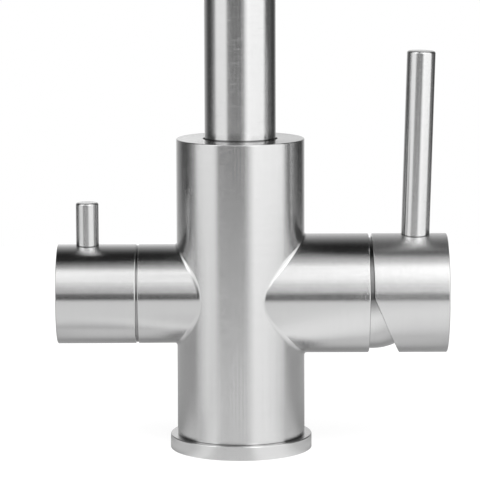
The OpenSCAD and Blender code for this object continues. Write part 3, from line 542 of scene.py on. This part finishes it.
def collar(outer, inner, near, far):
    """A flat spacer ring on the filter arm's axis."""
    surface = Surface()
    turned(surface, rounded([(inner, far), (outer, far), (outer, near), (inner, near)], [0] * 4),
           FILTER_AXIS, full_turn(TURN_CELLS))
    return surface


# Mixer cap

PIVOT_X = BODY_HIGH.x + 0.0013
DOME_R = 0.01955
DOME_WALL = 0.0012
DOME_HOLE_ANGLE = math.radians(50)
DOME_STEPS = 24
CAP_HOLLOW_R = 0.020
CAP_HOLLOW_STEPS = 16
CAP_BEND_X = BODY_HIGH.x + 0.0016
CAP_BEND_H = 0.001
CAP_LEAN = math.tan(math.radians(1.6))
CAP_SLANT = math.tan(math.radians(23))
CAP_HOLE = (0.0671, 0.0025, 0.005)
CAP_BOSS_R, CAP_BOSS_END = 0.0065, 0.056
CAP_STRAIGHT = 0.062
# The rim's rounding, and the most of its width that the rounding may take
CAP_RIM_R, CAP_RIM_SHARE = 0.0003, 0.45


def mixer_cap(sizes):
    """The mixer cap: a barrel whose rim is cut by two planes, round a ball shaped hollow.

    With h the height over the axis, the rim's planes are x = bend - (h - bend h) lean above the
    bend and x = bend + (bend h - h) slant below it. For each angle round the axis, the rim's inner
    edge is where its plane meets the ball: with the plane x = A - B d and the ball (x - pivot)^2 +
    d^2 = q^2, d is the positive root. The rim is a straight line from there to the barrel, and its
    outer edge is an arc of the rim's radius.
    """
    surface = Surface()
    radius = sizes.mixer_r
    angles = handle_barrel(surface, MIXER_AXIS, radius, sizes.rim_r, CAP_STRAIGHT, CAP_HIGH.x,
                           CAP_HOLE)
    up = np.sin(angles)
    slope = np.where(radius * up > CAP_BEND_H, CAP_LEAN, CAP_SLANT)
    plane = CAP_BEND_X + CAP_BEND_H * slope - PIVOT_X
    a, b, c = 1 + (slope * up) ** 2, -2 * plane * slope * up, plane**2 - CAP_HOLLOW_R**2
    inner_d = (-b + np.sqrt(b * b - 4 * a * c)) / (2 * a)
    inner = vectors(inner_d, PIVOT_X + plane - slope * up * inner_d)
    outer = vectors(radius, CAP_BEND_X - slope * (radius * up - CAP_BEND_H))
    across = outer - inner
    width = np.linalg.norm(across, axis=1, keepdims=True)
    across /= width
    bend = np.arccos(np.clip(across[:, 1], -1, 1))
    rim_r = np.minimum(CAP_RIM_R, CAP_RIM_SHARE * width[:, 0] / np.tan(bend / 2))
    cut = (rim_r * np.tan(bend / 2))[:, None]
    side = vectors(across[:, 1], -across[:, 0])
    step = (np.linspace(0, 1, ARC_STEPS + 1)[:, None] * bend)[..., None]
    normal = side * np.cos(step) + across * np.sin(step)
    arc = outer - across * cut + rim_r[:, None] * (normal - side)
    barrel, outward = vectors(radius, CAP_STRAIGHT + 0 * up), vectors(1.0, 0 * up)
    turned(surface, (np.stack([inner, *arc, barrel]), np.stack([side, *normal, outward])),
           MIXER_AXIS, angles)
    edge = np.arctan2(inner[:, 0], inner[:, 1] - PIVOT_X)
    boss = math.asin(CAP_BOSS_R / CAP_HOLLOW_R)
    polar = np.linspace(0, 1, CAP_HOLLOW_STEPS + 1)[:, None] * (boss - edge) + edge
    ray = vectors(np.sin(polar), np.cos(polar))
    turned(surface, (np.array([0, PIVOT_X]) + CAP_HOLLOW_R * ray, -ray), MIXER_AXIS, angles)
    boss_x = PIVOT_X + CAP_HOLLOW_R * math.cos(boss)
    turned(surface, rounded([(0, CAP_BOSS_END), (CAP_BOSS_R, CAP_BOSS_END), (CAP_BOSS_R, boss_x)],
                            [0, 0, 0], closed=False), MIXER_AXIS, angles)
    return surface


def dome_cover():
    """The ball shaped cover in the handle's gap: a skirt and a spherical shell, at (r sin p, pivot
    + r cos p) for the polar angle p, with a round opening."""
    surface = Surface()
    inner_r, skirt = DOME_R - DOME_WALL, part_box("dome_cover")[0].x
    lip_r, lip_x = DOME_R * math.sin(DOME_HOLE_ANGLE), PIVOT_X + DOME_R * math.cos(DOME_HOLE_ANGLE)

    def ball(radius, start, end):
        polar = np.linspace(start, end, DOME_STEPS + 1)
        ray = vectors(np.sin(polar), np.cos(polar))
        return radius * ray + np.array([0, PIVOT_X]), ray

    outer, outward = ball(DOME_R, RIGHT_ANGLE, DOME_HOLE_ANGLE)
    inner, ray = ball(inner_r, math.asin(lip_r / inner_r), RIGHT_ANGLE)
    for points, normals in (
            ([[DOME_R, skirt], *outer], [[1, 0], *outward]),
            ([[lip_r, lip_x], inner[0]], [[-1, 0]] * 2),
            ([*inner, [inner_r, skirt]], [*-ray, [-1, 0]]),
            ([[inner_r, skirt], [DOME_R, skirt]], [[0, -1]] * 2)):
        outline = np.array(points), np.array(normals, float)
        turned(surface, outline, MIXER_AXIS, full_turn(TURN_CELLS))
    return surface


# Spout

BEND_R = (TUBE_HIGH.y - TUBE_LOW.y) / 2 - TUBE_HIGH.x
BEND_Z = TUBE_HIGH.z - BEND_R - TUBE_HIGH.x
DROP_Z = SHELL_HIGH.z - 0.008
BEND_CELLS, TUBE_CELLS = 90, 128
# Length of the first and last cell, next to the tube's ends
TUBE_END_L = 0.0003


def spout_tube(sizes):
    """The swan neck as a pipe: (r cos t, r sin t) carried square to a line that rises, turns
    through half a circle of the bend's radius, and drops. The grain keeps the length along it."""
    surface = Surface()
    bend = np.linspace(0, math.pi, BEND_CELLS + 1)
    rise = np.array([TUBE_LOW.z, TUBE_LOW.z + TUBE_END_L])
    line_y = np.concatenate([0 * rise, -BEND_R + BEND_R * np.cos(bend), [-2 * BEND_R] * 2])
    line_z = np.concatenate([rise, BEND_Z + BEND_R * np.sin(bend), [DROP_Z + TUBE_END_L, DROP_Z]])
    tilt = np.concatenate([0 * rise, bend, [math.pi] * 2])
    run = np.concatenate([[0], np.cumsum(np.hypot(np.diff(line_y), np.diff(line_z)))])[:, None]
    angles = full_turn(TUBE_CELLS)
    cos, sin = np.cos(angles)[None, :], np.sin(angles)[None, :]
    tilt_cos, tilt_sin = np.cos(tilt)[:, None], np.sin(tilt)[:, None]
    line = vectors(0.0, line_y, line_z)[:, None]
    ray = vectors(cos, sin * tilt_cos, sin * tilt_sin)
    around = vectors(-sin, cos * tilt_cos, cos * tilt_sin)
    outer, inner = sizes.tube_r, sizes.tube_r - sizes.tube_wall
    for radius, facing in ((outer, 1), (inner, -1)):
        straight = vectors(radius * cos, radius * sin, run)
        surface.patch(line + radius * ray, facing * ray, straight, UPRIGHT, around)
    radii = np.array([[outer], [inner]])
    for end in (0, -1):
        ring = line[end] + radii[..., None] * ray[end]
        flat = vectors(radii * cos, radii * sin, 0.0)
        surface.patch(ring, np.array([0, 0, -1.0]), flat, UPRIGHT, np.stack([around[end]] * 2))
    return surface


# Shader maths

NODES_A_ROW, NODE_W, NODE_H = 12, 200, 260


class Value:
    """A number that varies over a surface. Sums, differences and products of it add Math nodes."""

    def __init__(self, tree, socket):
        self.tree, self.socket = tree, socket

    def __add__(self, other):
        return self.tree.maths("ADD", self, other)

    def __radd__(self, other):
        return self.tree.maths("ADD", other, self)

    def __sub__(self, other):
        return self.tree.maths("SUBTRACT", self, other)

    def __rsub__(self, other):
        return self.tree.maths("SUBTRACT", other, self)

    def __mul__(self, other):
        return self.tree.maths("MULTIPLY", self, other)

    def __rmul__(self, other):
        return self.tree.maths("MULTIPLY", other, self)

    def max(self, other):
        return self.tree.maths("MAXIMUM", self, other)


class Tree:
    """A node tree that is built from plain calls."""

    def __init__(self, node_tree):
        self.tree, self.made = node_tree, 0
        node_tree.nodes.clear()

    def node(self, kind, sockets=None, **settings):
        """Adds a node of this kind, with its settings and the value or link of each socket."""
        made = self.tree.nodes.new(kind)
        row, column = divmod(self.made, NODES_A_ROW)
        made.location = (NODE_W * column, -NODE_H * row)
        self.made += 1
        for name, setting in settings.items():
            setattr(made, name, setting)
        for name, given in (sockets or {}).items():
            given = given.socket if isinstance(given, Value) else given
            if isinstance(given, bpy.types.NodeSocket):
                self.tree.links.new(given, made.inputs[name])
            else:
                made.inputs[name].default_value = given
        return made

    def value(self, kind, sockets=None, output=0, **settings):
        return Value(self, self.node(kind, sockets, **settings).outputs[output])

    def maths(self, operation, *numbers):
        return self.value("ShaderNodeMath", dict(enumerate(numbers)), operation=operation)

    def vector(self, operation, first, second=None, socket=1):
        """Vector maths on a place and a second place, or a number for the socket of that name."""
        sockets = {0: first} if second is None else {0: first, socket: second}
        return self.node("ShaderNodeVectorMath", sockets, operation=operation).outputs[0]

    def coordinate(self, kind):
        return self.node("ShaderNodeTexCoord").outputs[kind]

    def attribute(self, name):
        return self.node("ShaderNodeAttribute", attribute_name=name).outputs["Vector"]

    def split(self, place):
        """The three coordinates of a place."""
        made = self.node("ShaderNodeSeparateXYZ", {0: place})
        return [Value(self, socket) for socket in made.outputs]

    def ray(self, kind):
        """1 on light paths of one kind, such as Camera, and 0 on others."""
        return self.value("ShaderNodeLightPath", output=f"Is {kind} Ray")

    def window(self, value, start, full, fade, end):
        """Rises smoothly from 0 at start to 1 at full, and falls back from fade to end."""
        rise, fall = (
            self.value("ShaderNodeMapRange", {"Value": value, "From Min": low, "From Max": high},
                       interpolation_type="SMOOTHSTEP")
            for low, high in ((start, full), (end, fade)))
        return rise * fall

    def noise(self, place, stretch, detail=2.0, roughness=0.5):
        """Noise from 0 to 1 on a place that is stretched by a factor along each axis, in 1/m."""
        return self.value("ShaderNodeTexNoise", {
            "Vector": self.vector("MULTIPLY", place, stretch), "Scale": 1.0,
            "Detail": detail, "Roughness": roughness}, noise_dimensions="3D")

    def tint(self, colour, factor):
        """The colour, brightened or darkened by a factor near 1."""
        grey = self.node("ShaderNodeCombineXYZ", {0: factor, 1: factor, 2: factor})
        return self.vector("MULTIPLY", grey.outputs[0], tuple(colour))

    def bump(self, height, distance, **normal):
        return self.node("ShaderNodeBump", {
            "Strength": 1.0, "Distance": distance, "Height": height, **normal}).outputs[0]

    def seam(self, centre, weights, level, width):
        """The mask of painted shade: 1 where |(P - centre) weights| is up to the width over a
        level, 0 from twice that on.
        """
        place = self.vector("SUBTRACT", self.coordinate("Object"), centre)
        place = self.vector("MULTIPLY", place, weights)
        reach = self.value("ShaderNodeVectorMath", {0: place}, "Value", operation="LENGTH")
        return self.window(reach, -2.0, -1.0, level + width, level + 2 * width)

    def tilted(self, slope):
        """The normal, tilted by a slope across the brushing: N + slope (N x around), made unit."""
        around = self.node(
            "ShaderNodeVectorTransform", {0: self.attribute("around")},
            vector_type="VECTOR", convert_from="OBJECT", convert_to="WORLD").outputs[0]
        normal = self.node("ShaderNodeNewGeometry").outputs["Normal"]
        across = self.vector("CROSS_PRODUCT", normal, around)
        lean = self.vector("SCALE", across, slope, "Scale")
        return self.vector("NORMALIZE", self.vector("ADD", normal, lean))

    def principled(self, **sockets):
        """Ends the tree in a Principled shader. Its sockets' spaces are given as underscores."""
        shader = self.node("ShaderNodeBsdfPrincipled", {
            name.replace("_", " "): given for name, given in sockets.items()})
        self.node("ShaderNodeOutputMaterial", {"Surface": shader.outputs[0]})


def new_material(name):
    material = bpy.data.materials.new(name)
    material.use_nodes = True
    return material, Tree(material.node_tree)


# Finishes

# How much the painted shade at a joint or in a gap darkens the steel
SEAM_SHADE = 0.65
# The noises of the brushing: their stretch across and along the scratches, in 1/m
STREAKS, STROKES, CLOUDS = (30, 30, 1500), (200, 200, 3800), (45, 45, 60)
SCRATCHES = (800, 800, 300000)
# Strokes show where their noise rises through this span
STROKE_SPAN = (0.62, 0.74, 2.0, 3.0)
TOOL_MARKS, TOOL_MARK_DEPTH, METAL_CLOUDS = (200, 200, 4000), 0.000002, (160, 160, 160)
PEBBLES, DULL_CLOUDS = (2500, 2500, 2500), (150, 150, 150)
PEBBLE_DEPTH, LAPPED_DEPTH = 0.000008, 0.000001


def brushed_steel(name, finish, tone=1.0, blur=1.0, marks=0.12, haze=0.0, seam=None, on_skin=True):
    """Satin stainless steel, brushed round its own axis.

    Scratches too fine to see tilt the normal across the brushing by a random slope, which draws
    reflections out along the axis and leaves them sharp round it. Streaks, sparse strokes and broad
    clouds that can be seen are noises stretched round the axis, and shift the tone and roughness.
    """
    material, tree = new_material(name)
    place = tree.attribute("grain") if on_skin else tree.coordinate("Object")
    streak = tree.noise(place, STREAKS)
    stroke = tree.window(tree.noise(place, STROKES, 1.0), *STROKE_SPAN)
    cloud = tree.noise(place, CLOUDS, 3.0, 0.6)
    shade = 0.95 + streak * 0.04 + cloud * 0.05 - stroke * (0.02 * marks)
    # Painted shade: the steel's colour darkens along a joint between parts or in a gap, where shade
    # falls
    if seam is not None:
        shade = shade * (1 - tree.seam(*seam) * SEAM_SHADE)
    tilt = {}
    if on_skin:
        fine = (tree.noise(place, SCRATCHES, 0.0) - 0.5) * (1 + stroke * (0.5 * marks))
        tilt["Normal"] = tree.tilted(fine * (2 * finish.scratch_slope * blur))
    tree.principled(
        Base_Color=tree.tint((c * tone for c in finish.steel), shade),
        Metallic=1.0 - haze,
        Roughness=finish.steel_roughness - 0.05 + cloud * 0.06 + streak * 0.04 + stroke * 0.05,
        Normal=tree.bump(streak + stroke * 1.2, finish.scratch_depth * marks, **tilt),
    )
    return material


def turned_metal(name, colour, roughness):
    """Plain machined metal with fine tool marks."""
    material, tree = new_material(name)
    place = tree.coordinate("Object")
    marks = tree.noise(place, TOOL_MARKS)
    cloud = tree.noise(place, METAL_CLOUDS, 3.0)
    tree.principled(
        Base_Color=tree.tint(colour, 0.92 + cloud * 0.12 + marks * 0.04),
        Metallic=1.0,
        Roughness=roughness + cloud * 0.10,
        Normal=tree.bump(marks, TOOL_MARK_DEPTH),
    )
    return material


def dull_material(name, colour, roughness, depth=PEBBLE_DEPTH):
    """Rubber, ceramic or moulded plastic: a fine even grain under a faint cloudiness."""
    material, tree = new_material(name)
    place = tree.coordinate("Object")
    cloud = tree.noise(place, DULL_CLOUDS, 3.0)
    tree.principled(
        Base_Color=tree.tint(colour, 0.94 + cloud * 0.12),
        Roughness=roughness + cloud * 0.08,
        Normal=tree.bump(tree.noise(place, PEBBLES), depth),
    )
    return material


# Operators


def dress(surface, name, material, body, replaced):
    """Builds a new piece of satin steel and makes it ride on its body in place of a CAD node."""
    piece = surface.build(name, material)
    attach(piece, body)
    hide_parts(replaced)


# How far the camera stands to the right of the column's axis
CAMERA_SIDE = -0.0002
CAMERA_NEAR, CAMERA_FAR, SENSOR_W = 0.05, 50, 36
TABLE_CELLS, TABLE_RINGS, TABLE_DROP = 128, 8, 0.00002


class TAP_OT_studio(bpy.types.Operator):
    """Sets the camera, the pale table and the studio's light"""

    bl_idname = "tap.studio"
    bl_label = "Studio"

    def execute(self, context):
        studio = context.scene.tap_studio
        self.camera(context, studio)
        self.table(context, studio)
        self.light(context)
        context.scene.view_settings.view_transform = "Standard"
        return {"FINISHED"}

    @staticmethod
    def camera(context, studio):
        camera = bpy.data.cameras.new("camera")
        camera.lens, camera.sensor_width = studio.focal_length, SENSOR_W
        camera.clip_start, camera.clip_end = CAMERA_NEAR, CAMERA_FAR
        holder = bpy.data.objects.new("camera", camera)
        context.scene.collection.objects.link(holder)
        holder.location = (CAMERA_SIDE, -studio.camera_distance, studio.camera_height)
        holder.rotation_mode = "ZYX"
        holder.rotation_euler = (RIGHT_ANGLE - studio.camera_pitch, 0, studio.camera_roll)
        context.scene.camera = holder

    @staticmethod
    def table(context, studio):
        """A flat disc whose rings are at (d cos t, d sin t, 0).

        The camera sees it plain and pale. What the steel mirrors of it is painted light and shade,
        set by bearing from the
        column: painted shadows of the tap and the fall of the boxes' light, darkest straight in
        front, with a small painted pool of light under the arms.
        """
        angles = full_turn(TABLE_CELLS)
        reach = np.linspace(0, studio.table_r, TABLE_RINGS + 1)[:, None]
        points = vectors(reach * np.cos(angles), reach * np.sin(angles), -TABLE_DROP)
        surface = Surface()
        surface.patch(points, np.array([0, 0, 1.0]), points, UPRIGHT)
        material, tree = new_material("pale_table")
        window = tree.window
        x, y, _ = tree.split(tree.coordinate("Object"))
        bearing = tree.maths("ARCTAN2", x, y * -1.0) * DEGREES
        distance = tree.maths("SQRT", x * x + y * y)
        # Painted light and shade on the table, which only the steel's reflections show: the tap's
        # shadows near it, darker and lighter bearings further out, and a pool of light under the
        # arms
        near = window(distance, -0.02, -0.01, 0.05, 0.10)
        close = window(bearing, -70, -38, 50, 88) * 0.50 + window(bearing, 10, 22, 40, 60) * 0.10
        close = 0.22 + close - window(bearing, -36, -29, 8, 18) * 0.18
        pool = window(y, -0.04, -0.015, -0.008, 0.04) * window(distance, 0.02, 0.03, 0.07, 0.10)
        close = close.max(pool * 0.48)
        far = window(bearing, -88, -50, 58, 104) * 0.40 + window(bearing, 8, 26, 34, 74) * 0.20
        far = 0.22 + far + window(bearing, -84, -62, -60, -52) * 0.12
        rear = window(bearing, -300, -299, -170, -150) + window(bearing, 150, 170, 299, 300)
        level = near * close + (1 - near) * far + rear * 0.30
        mirrored = tree.ray("Glossy").max(tree.ray("Transmission"))
        shown = tree.node("ShaderNodeBsdfDiffuse", {"Color": (0.20, 0.20, 0.20, 1)})
        glow = tree.node("ShaderNodeEmission", {
            "Color": (1, 1, 1, 1), "Strength": tree.ray("Camera") * 0.86 + mirrored * level})
        both = tree.node("ShaderNodeAddShader", {0: shown.outputs[0], 1: glow.outputs[0]})
        tree.node("ShaderNodeOutputMaterial", {"Surface": both.outputs[0]})
        surface.build("table", material)

    @staticmethod
    def light(context):
        """The room: bright soft boxes at both sides and overhead in front, darker between them.

        Each window is where a box's light begins, is full, starts to fall off and ends, in degrees
        of bearing from straight in front, of height over level, or of the arc overhead.
        """
        world = bpy.data.worlds.new("studio")
        world.use_nodes = True
        context.scene.world = world
        tree = Tree(world.node_tree)
        window = tree.window
        x, y, z = tree.split(tree.coordinate("Generated"))
        bearing = tree.maths("ARCTAN2", x, y * -1.0) * DEGREES
        height = tree.maths("ARCSINE", z) * DEGREES
        arc = tree.maths("ARCTAN2", z, y * -1.0) * DEGREES
        tall = window(height, -60, -35, 50, 75)
        upper = window(height, -6.2, -5, 30, 40)
        right = window(bearing, 4, 27, 87, 97) * tall * 1.28
        right = right + window(bearing, 90, 98, 112, 128) * tall * 0.18
        right = right * (1 - window(bearing, 81, 88, 130, 140) * upper * 0.96)
        left = window(bearing, -112, -78, -49, -37) * tall * 1.06
        left = left * (1 - window(bearing, -130, -120, -92, -82) * upper * 0.9)
        facing = window(x, -0.85, -0.6, 0.37, 0.62)
        lean = window(x, -0.14, 0.14, 2, 3)
        left_front = window(arc, 5, 13, 68, 83) * 0.36 + window(arc, 12, 58, 60, 74) * 0.98
        right_front = window(arc, 4, 12, 76, 92) * 0.78 + window(arc, 14, 46, 56, 70) * 0.50
        front = facing * (left_front * (1 - lean) + right_front * lean)
        dim = window(height, -80, -60, -7, -5) * window(bearing, -52, -38, 8, 24) * 0.33
        band = facing * window(height, -7, -5, 5, 7) * 0.02
        behind = tree.maths("ABSOLUTE", bearing + 2.0)
        back = window(bearing, -300, -299, -152, -120) * 0.33
        back = back + window(bearing, 140, 152, 299, 300) * 0.1
        back = (back + window(behind, 144, 176, 230, 240) * 0.6) * window(height, -80, -60, -4, 70)
        room = 0.02 + window(height, -90, -80, 25, 70) * 0.05
        room = room + right + left + front + dim + band + back
        seen = tree.ray("Camera")
        strength = seen + (1 - seen) * room * (1 + tree.ray("Diffuse") * 1.1)
        shader = tree.node("ShaderNodeBackground", {"Color": (1, 1, 1, 1), "Strength": strength})
        tree.node("ShaderNodeOutputWorld", {"Surface": shader.outputs[0]})


# Where painted shade darkens a finish, along joints between parts and in the gap under the mixer
# cap:
# its centre, what the distance from it is measured along, the distance and the width of the fade
HEIGHT_ONLY, ROUND_ARM, ROUND_POINT = (0, 0, 1), (0, 1, 1), (1, 1, 1)
FOOT_SHADE_W, ROD_SHADE_W, SPOUT_SHADE_W = 0.00012, 0.0002, 0.0003
# Painted shade on the dome's steel in the narrow gap inside the mixer cap: its reach from the gap's
# top and the width of its fade
GAP_SHADE_R, GAP_SHADE_W = 0.022, 0.005
# How deep the rods' feet reach into the barrels, and how far the mixer rod stands in from its end
ROD_SINK, MIXER_ROD_INSET = 0.001, 0.0111
COLLAR_W = 0.0026


class TAP_OT_column(bpy.types.Operator):
    """Skins the column with its two arms and the foot ring"""

    bl_idname = "tap.column"
    bl_label = "Column and foot ring"

    def execute(self, context):
        sizes, finish = context.scene.tap_sizes, context.scene.tap_finish
        satin = brushed_steel("brushed_satin", finish)
        # Painted shade along the column's foot, where it meets the foot ring
        seam = ((0, 0, 0), HEIGHT_ONLY, BODY_LOW.z, FOOT_SHADE_W)
        column = brushed_steel("brushed_column", finish, seam=seam)
        dress(body_skin(sizes), "column_with_arms", column, "column", "body")
        dress(base_ring(sizes), "foot_ring", satin, "column", "base_ring")
        return {"FINISHED"}


class TAP_OT_mixer_handle(bpy.types.Operator):
    """Skins the mixer cap, its lever rod and the dome in the gap"""

    bl_idname = "tap.mixer_handle"
    bl_label = "Mixer handle"

    def execute(self, context):
        sizes, finish = context.scene.tap_sizes, context.scene.tap_finish
        # Painted shade round the mixer lever rod's foot, where it meets the cap
        seam = (ARM_MIDDLE, ROUND_ARM, sizes.mixer_r, ROD_SHADE_W)
        polished = brushed_steel("brushed_mixer_rod", finish, tone=1.08, blur=1.4, seam=seam)
        dulled = brushed_steel("brushed_cap", finish, tone=0.99, haze=0.13)
        dress(mixer_cap(sizes), "mixer_cap_skin", dulled, "mixer_handle", "mixer_cap")
        cos, sin = math.cos(sizes.mixer_rod_lean), math.sin(sizes.mixer_rod_lean)
        axis = Axis((CAP_HIGH.x - MIXER_ROD_INSET, 0, ARM_AXIS_H + sizes.mixer_r),
                    ((cos, 0, -sin), (0, 1, 0), (sin, 0, cos)))
        lever = rod(axis, sizes.mixer_rod_r, -ROD_SINK, sizes.mixer_rod_l, sizes.rod_end_r)
        dress(lever, "mixer_lever", polished, "mixer_handle", "mixer_rod")
        # Painted shade: the dome's steel darkens near its top, in the narrow gap inside the cap
        gap = ((BODY_HIGH.x, 0, ARM_AXIS_H + DOME_R), ROUND_POINT, GAP_SHADE_R, GAP_SHADE_W)
        shaded = brushed_steel("brushed_dome_painted_gap_shade", finish, seam=gap)
        dress(dome_cover(), "dome", shaded, "column", "dome_cover")
        return {"FINISHED"}


class TAP_OT_filter_handle(bpy.types.Operator):
    """Skins the filter knob, its lever rod and the spacer collar"""

    bl_idname = "tap.filter_handle"
    bl_label = "Filter handle"

    def execute(self, context):
        sizes, finish = context.scene.tap_sizes, context.scene.tap_finish
        satin = bpy.data.materials["brushed_satin"]
        # Painted shade round the filter lever rod's foot, where it meets the knob
        seam = (ARM_MIDDLE, ROUND_ARM, sizes.filter_r, ROD_SHADE_W)
        polished = brushed_steel("brushed_filter_rod", finish, tone=0.97, blur=1.2, seam=seam)
        dress(filter_knob(sizes), "filter_knob_skin", satin, "filter_handle", "filter_knob")
        low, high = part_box("filter_rod")
        top = ARM_AXIS_H + sizes.filter_r
        axis = Axis(((low.x + high.x) / 2, 0, top), UPRIGHT.rows)
        lever = rod(axis, (high.x - low.x) / 2, -ROD_SINK, high.z - top, sizes.rod_end_r)
        dress(lever, "filter_lever", polished, "filter_handle", "filter_rod")
        low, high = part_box("filter_collar")
        ring = collar(high.y, high.y - COLLAR_W, -high.x, -low.x)
        # The collar's steel is darkened to half tone, so that the groove between knob and arm reads
        # dark
        shaded = brushed_steel("brushed_collar", finish, tone=0.5)
        dress(ring, "spacer_collar", shaded, "column", "filter_collar")
        return {"FINISHED"}


class TAP_OT_spout(bpy.types.Operator):
    """Skins the swan neck"""

    bl_idname = "tap.spout"
    bl_label = "Spout"

    def execute(self, context):
        sizes, finish = context.scene.tap_sizes, context.scene.tap_finish
        # Painted shade round the spout's foot, where it enters the column's mouth
        seam = ((0, 0, 0), HEIGHT_ONLY, BODY_HIGH.z, SPOUT_SHADE_W)
        tube = brushed_steel("brushed_tube", finish, tone=1.03, marks=1.7, seam=seam)
        dress(spout_tube(sizes), "swan_neck", tube, "spout", "spout_tube")
        return {"FINISHED"}


class TAP_OT_inner_parts(bpy.types.Operator):
    """Gives every CAD node that stays its own finish"""

    bl_idname = "tap.inner_parts"
    bl_label = "Inner parts"

    def execute(self, context):
        finish = context.scene.tap_finish
        finishes = {
            "satin_steel": brushed_steel("brushed_cad", finish, on_skin=False),
            "plain_steel": turned_metal("machined_steel", (0.58, 0.58, 0.57), 0.22),
            "screw_steel": turned_metal("hardened_steel", (0.22, 0.22, 0.23), 0.30),
            "brass": turned_metal("turned_brass", finish.brass, 0.20),
            "rubber": dull_material("seal_rubber", finish.rubber, 0.55),
            "ceramic": dull_material("lapped_ceramic", finish.ceramic, 0.12, LAPPED_DEPTH),
            "white_plastic": dull_material("white_moulding", (0.80, 0.80, 0.77), 0.38),
            "grey_plastic": dull_material("grey_moulding", (0.42, 0.42, 0.42), 0.42),
        }
        slot_of = {s["node"]: s["material_slot"] for s in frame["record"]["subparts"]}
        for name, node in frame["nodes"].items():
            for slot in node.material_slots:
                slot.material = finishes[slot_of[name]]
        return {"FINISHED"}


class TAP_PT_maker(bpy.types.Panel):
    """Lists the tap's sizes, finishes and pieces"""

    bl_idname = "TAP_PT_maker"
    bl_label = "Three way tap"
    bl_space_type = "VIEW_3D"
    bl_region_type = "UI"
    bl_category = "Tap"

    def draw(self, context):
        scene, layout = context.scene, self.layout
        for group in (scene.tap_sizes, scene.tap_finish, scene.tap_studio):
            box = layout.box()
            for name in group.__annotations__:
                box.prop(group, name)
        for operator in OPERATORS:
            layout.operator(operator.bl_idname)


OPERATORS = (
    TAP_OT_studio,
    TAP_OT_column,
    TAP_OT_mixer_handle,
    TAP_OT_filter_handle,
    TAP_OT_spout,
    TAP_OT_inner_parts,
)
GROUPS = {"tap_sizes": TapSizes, "tap_finish": TapFinish, "tap_studio": TapStudio}
CLASSES = (*GROUPS.values(), *OPERATORS, TAP_PT_maker)


def register():
    for kind in CLASSES:
        bpy.utils.register_class(kind)
    for name, kind in GROUPS.items():
        setattr(bpy.types.Scene, name, bpy.props.PointerProperty(type=kind))


def unregister():
    for name in GROUPS:
        delattr(bpy.types.Scene, name)
    for kind in reversed(CLASSES):
        bpy.utils.unregister_class(kind)


def main():
    register()
    for operator in OPERATORS:
        getattr(bpy.ops.tap, operator.bl_idname.removeprefix("tap."))()


if __name__ == "__main__":
    main()
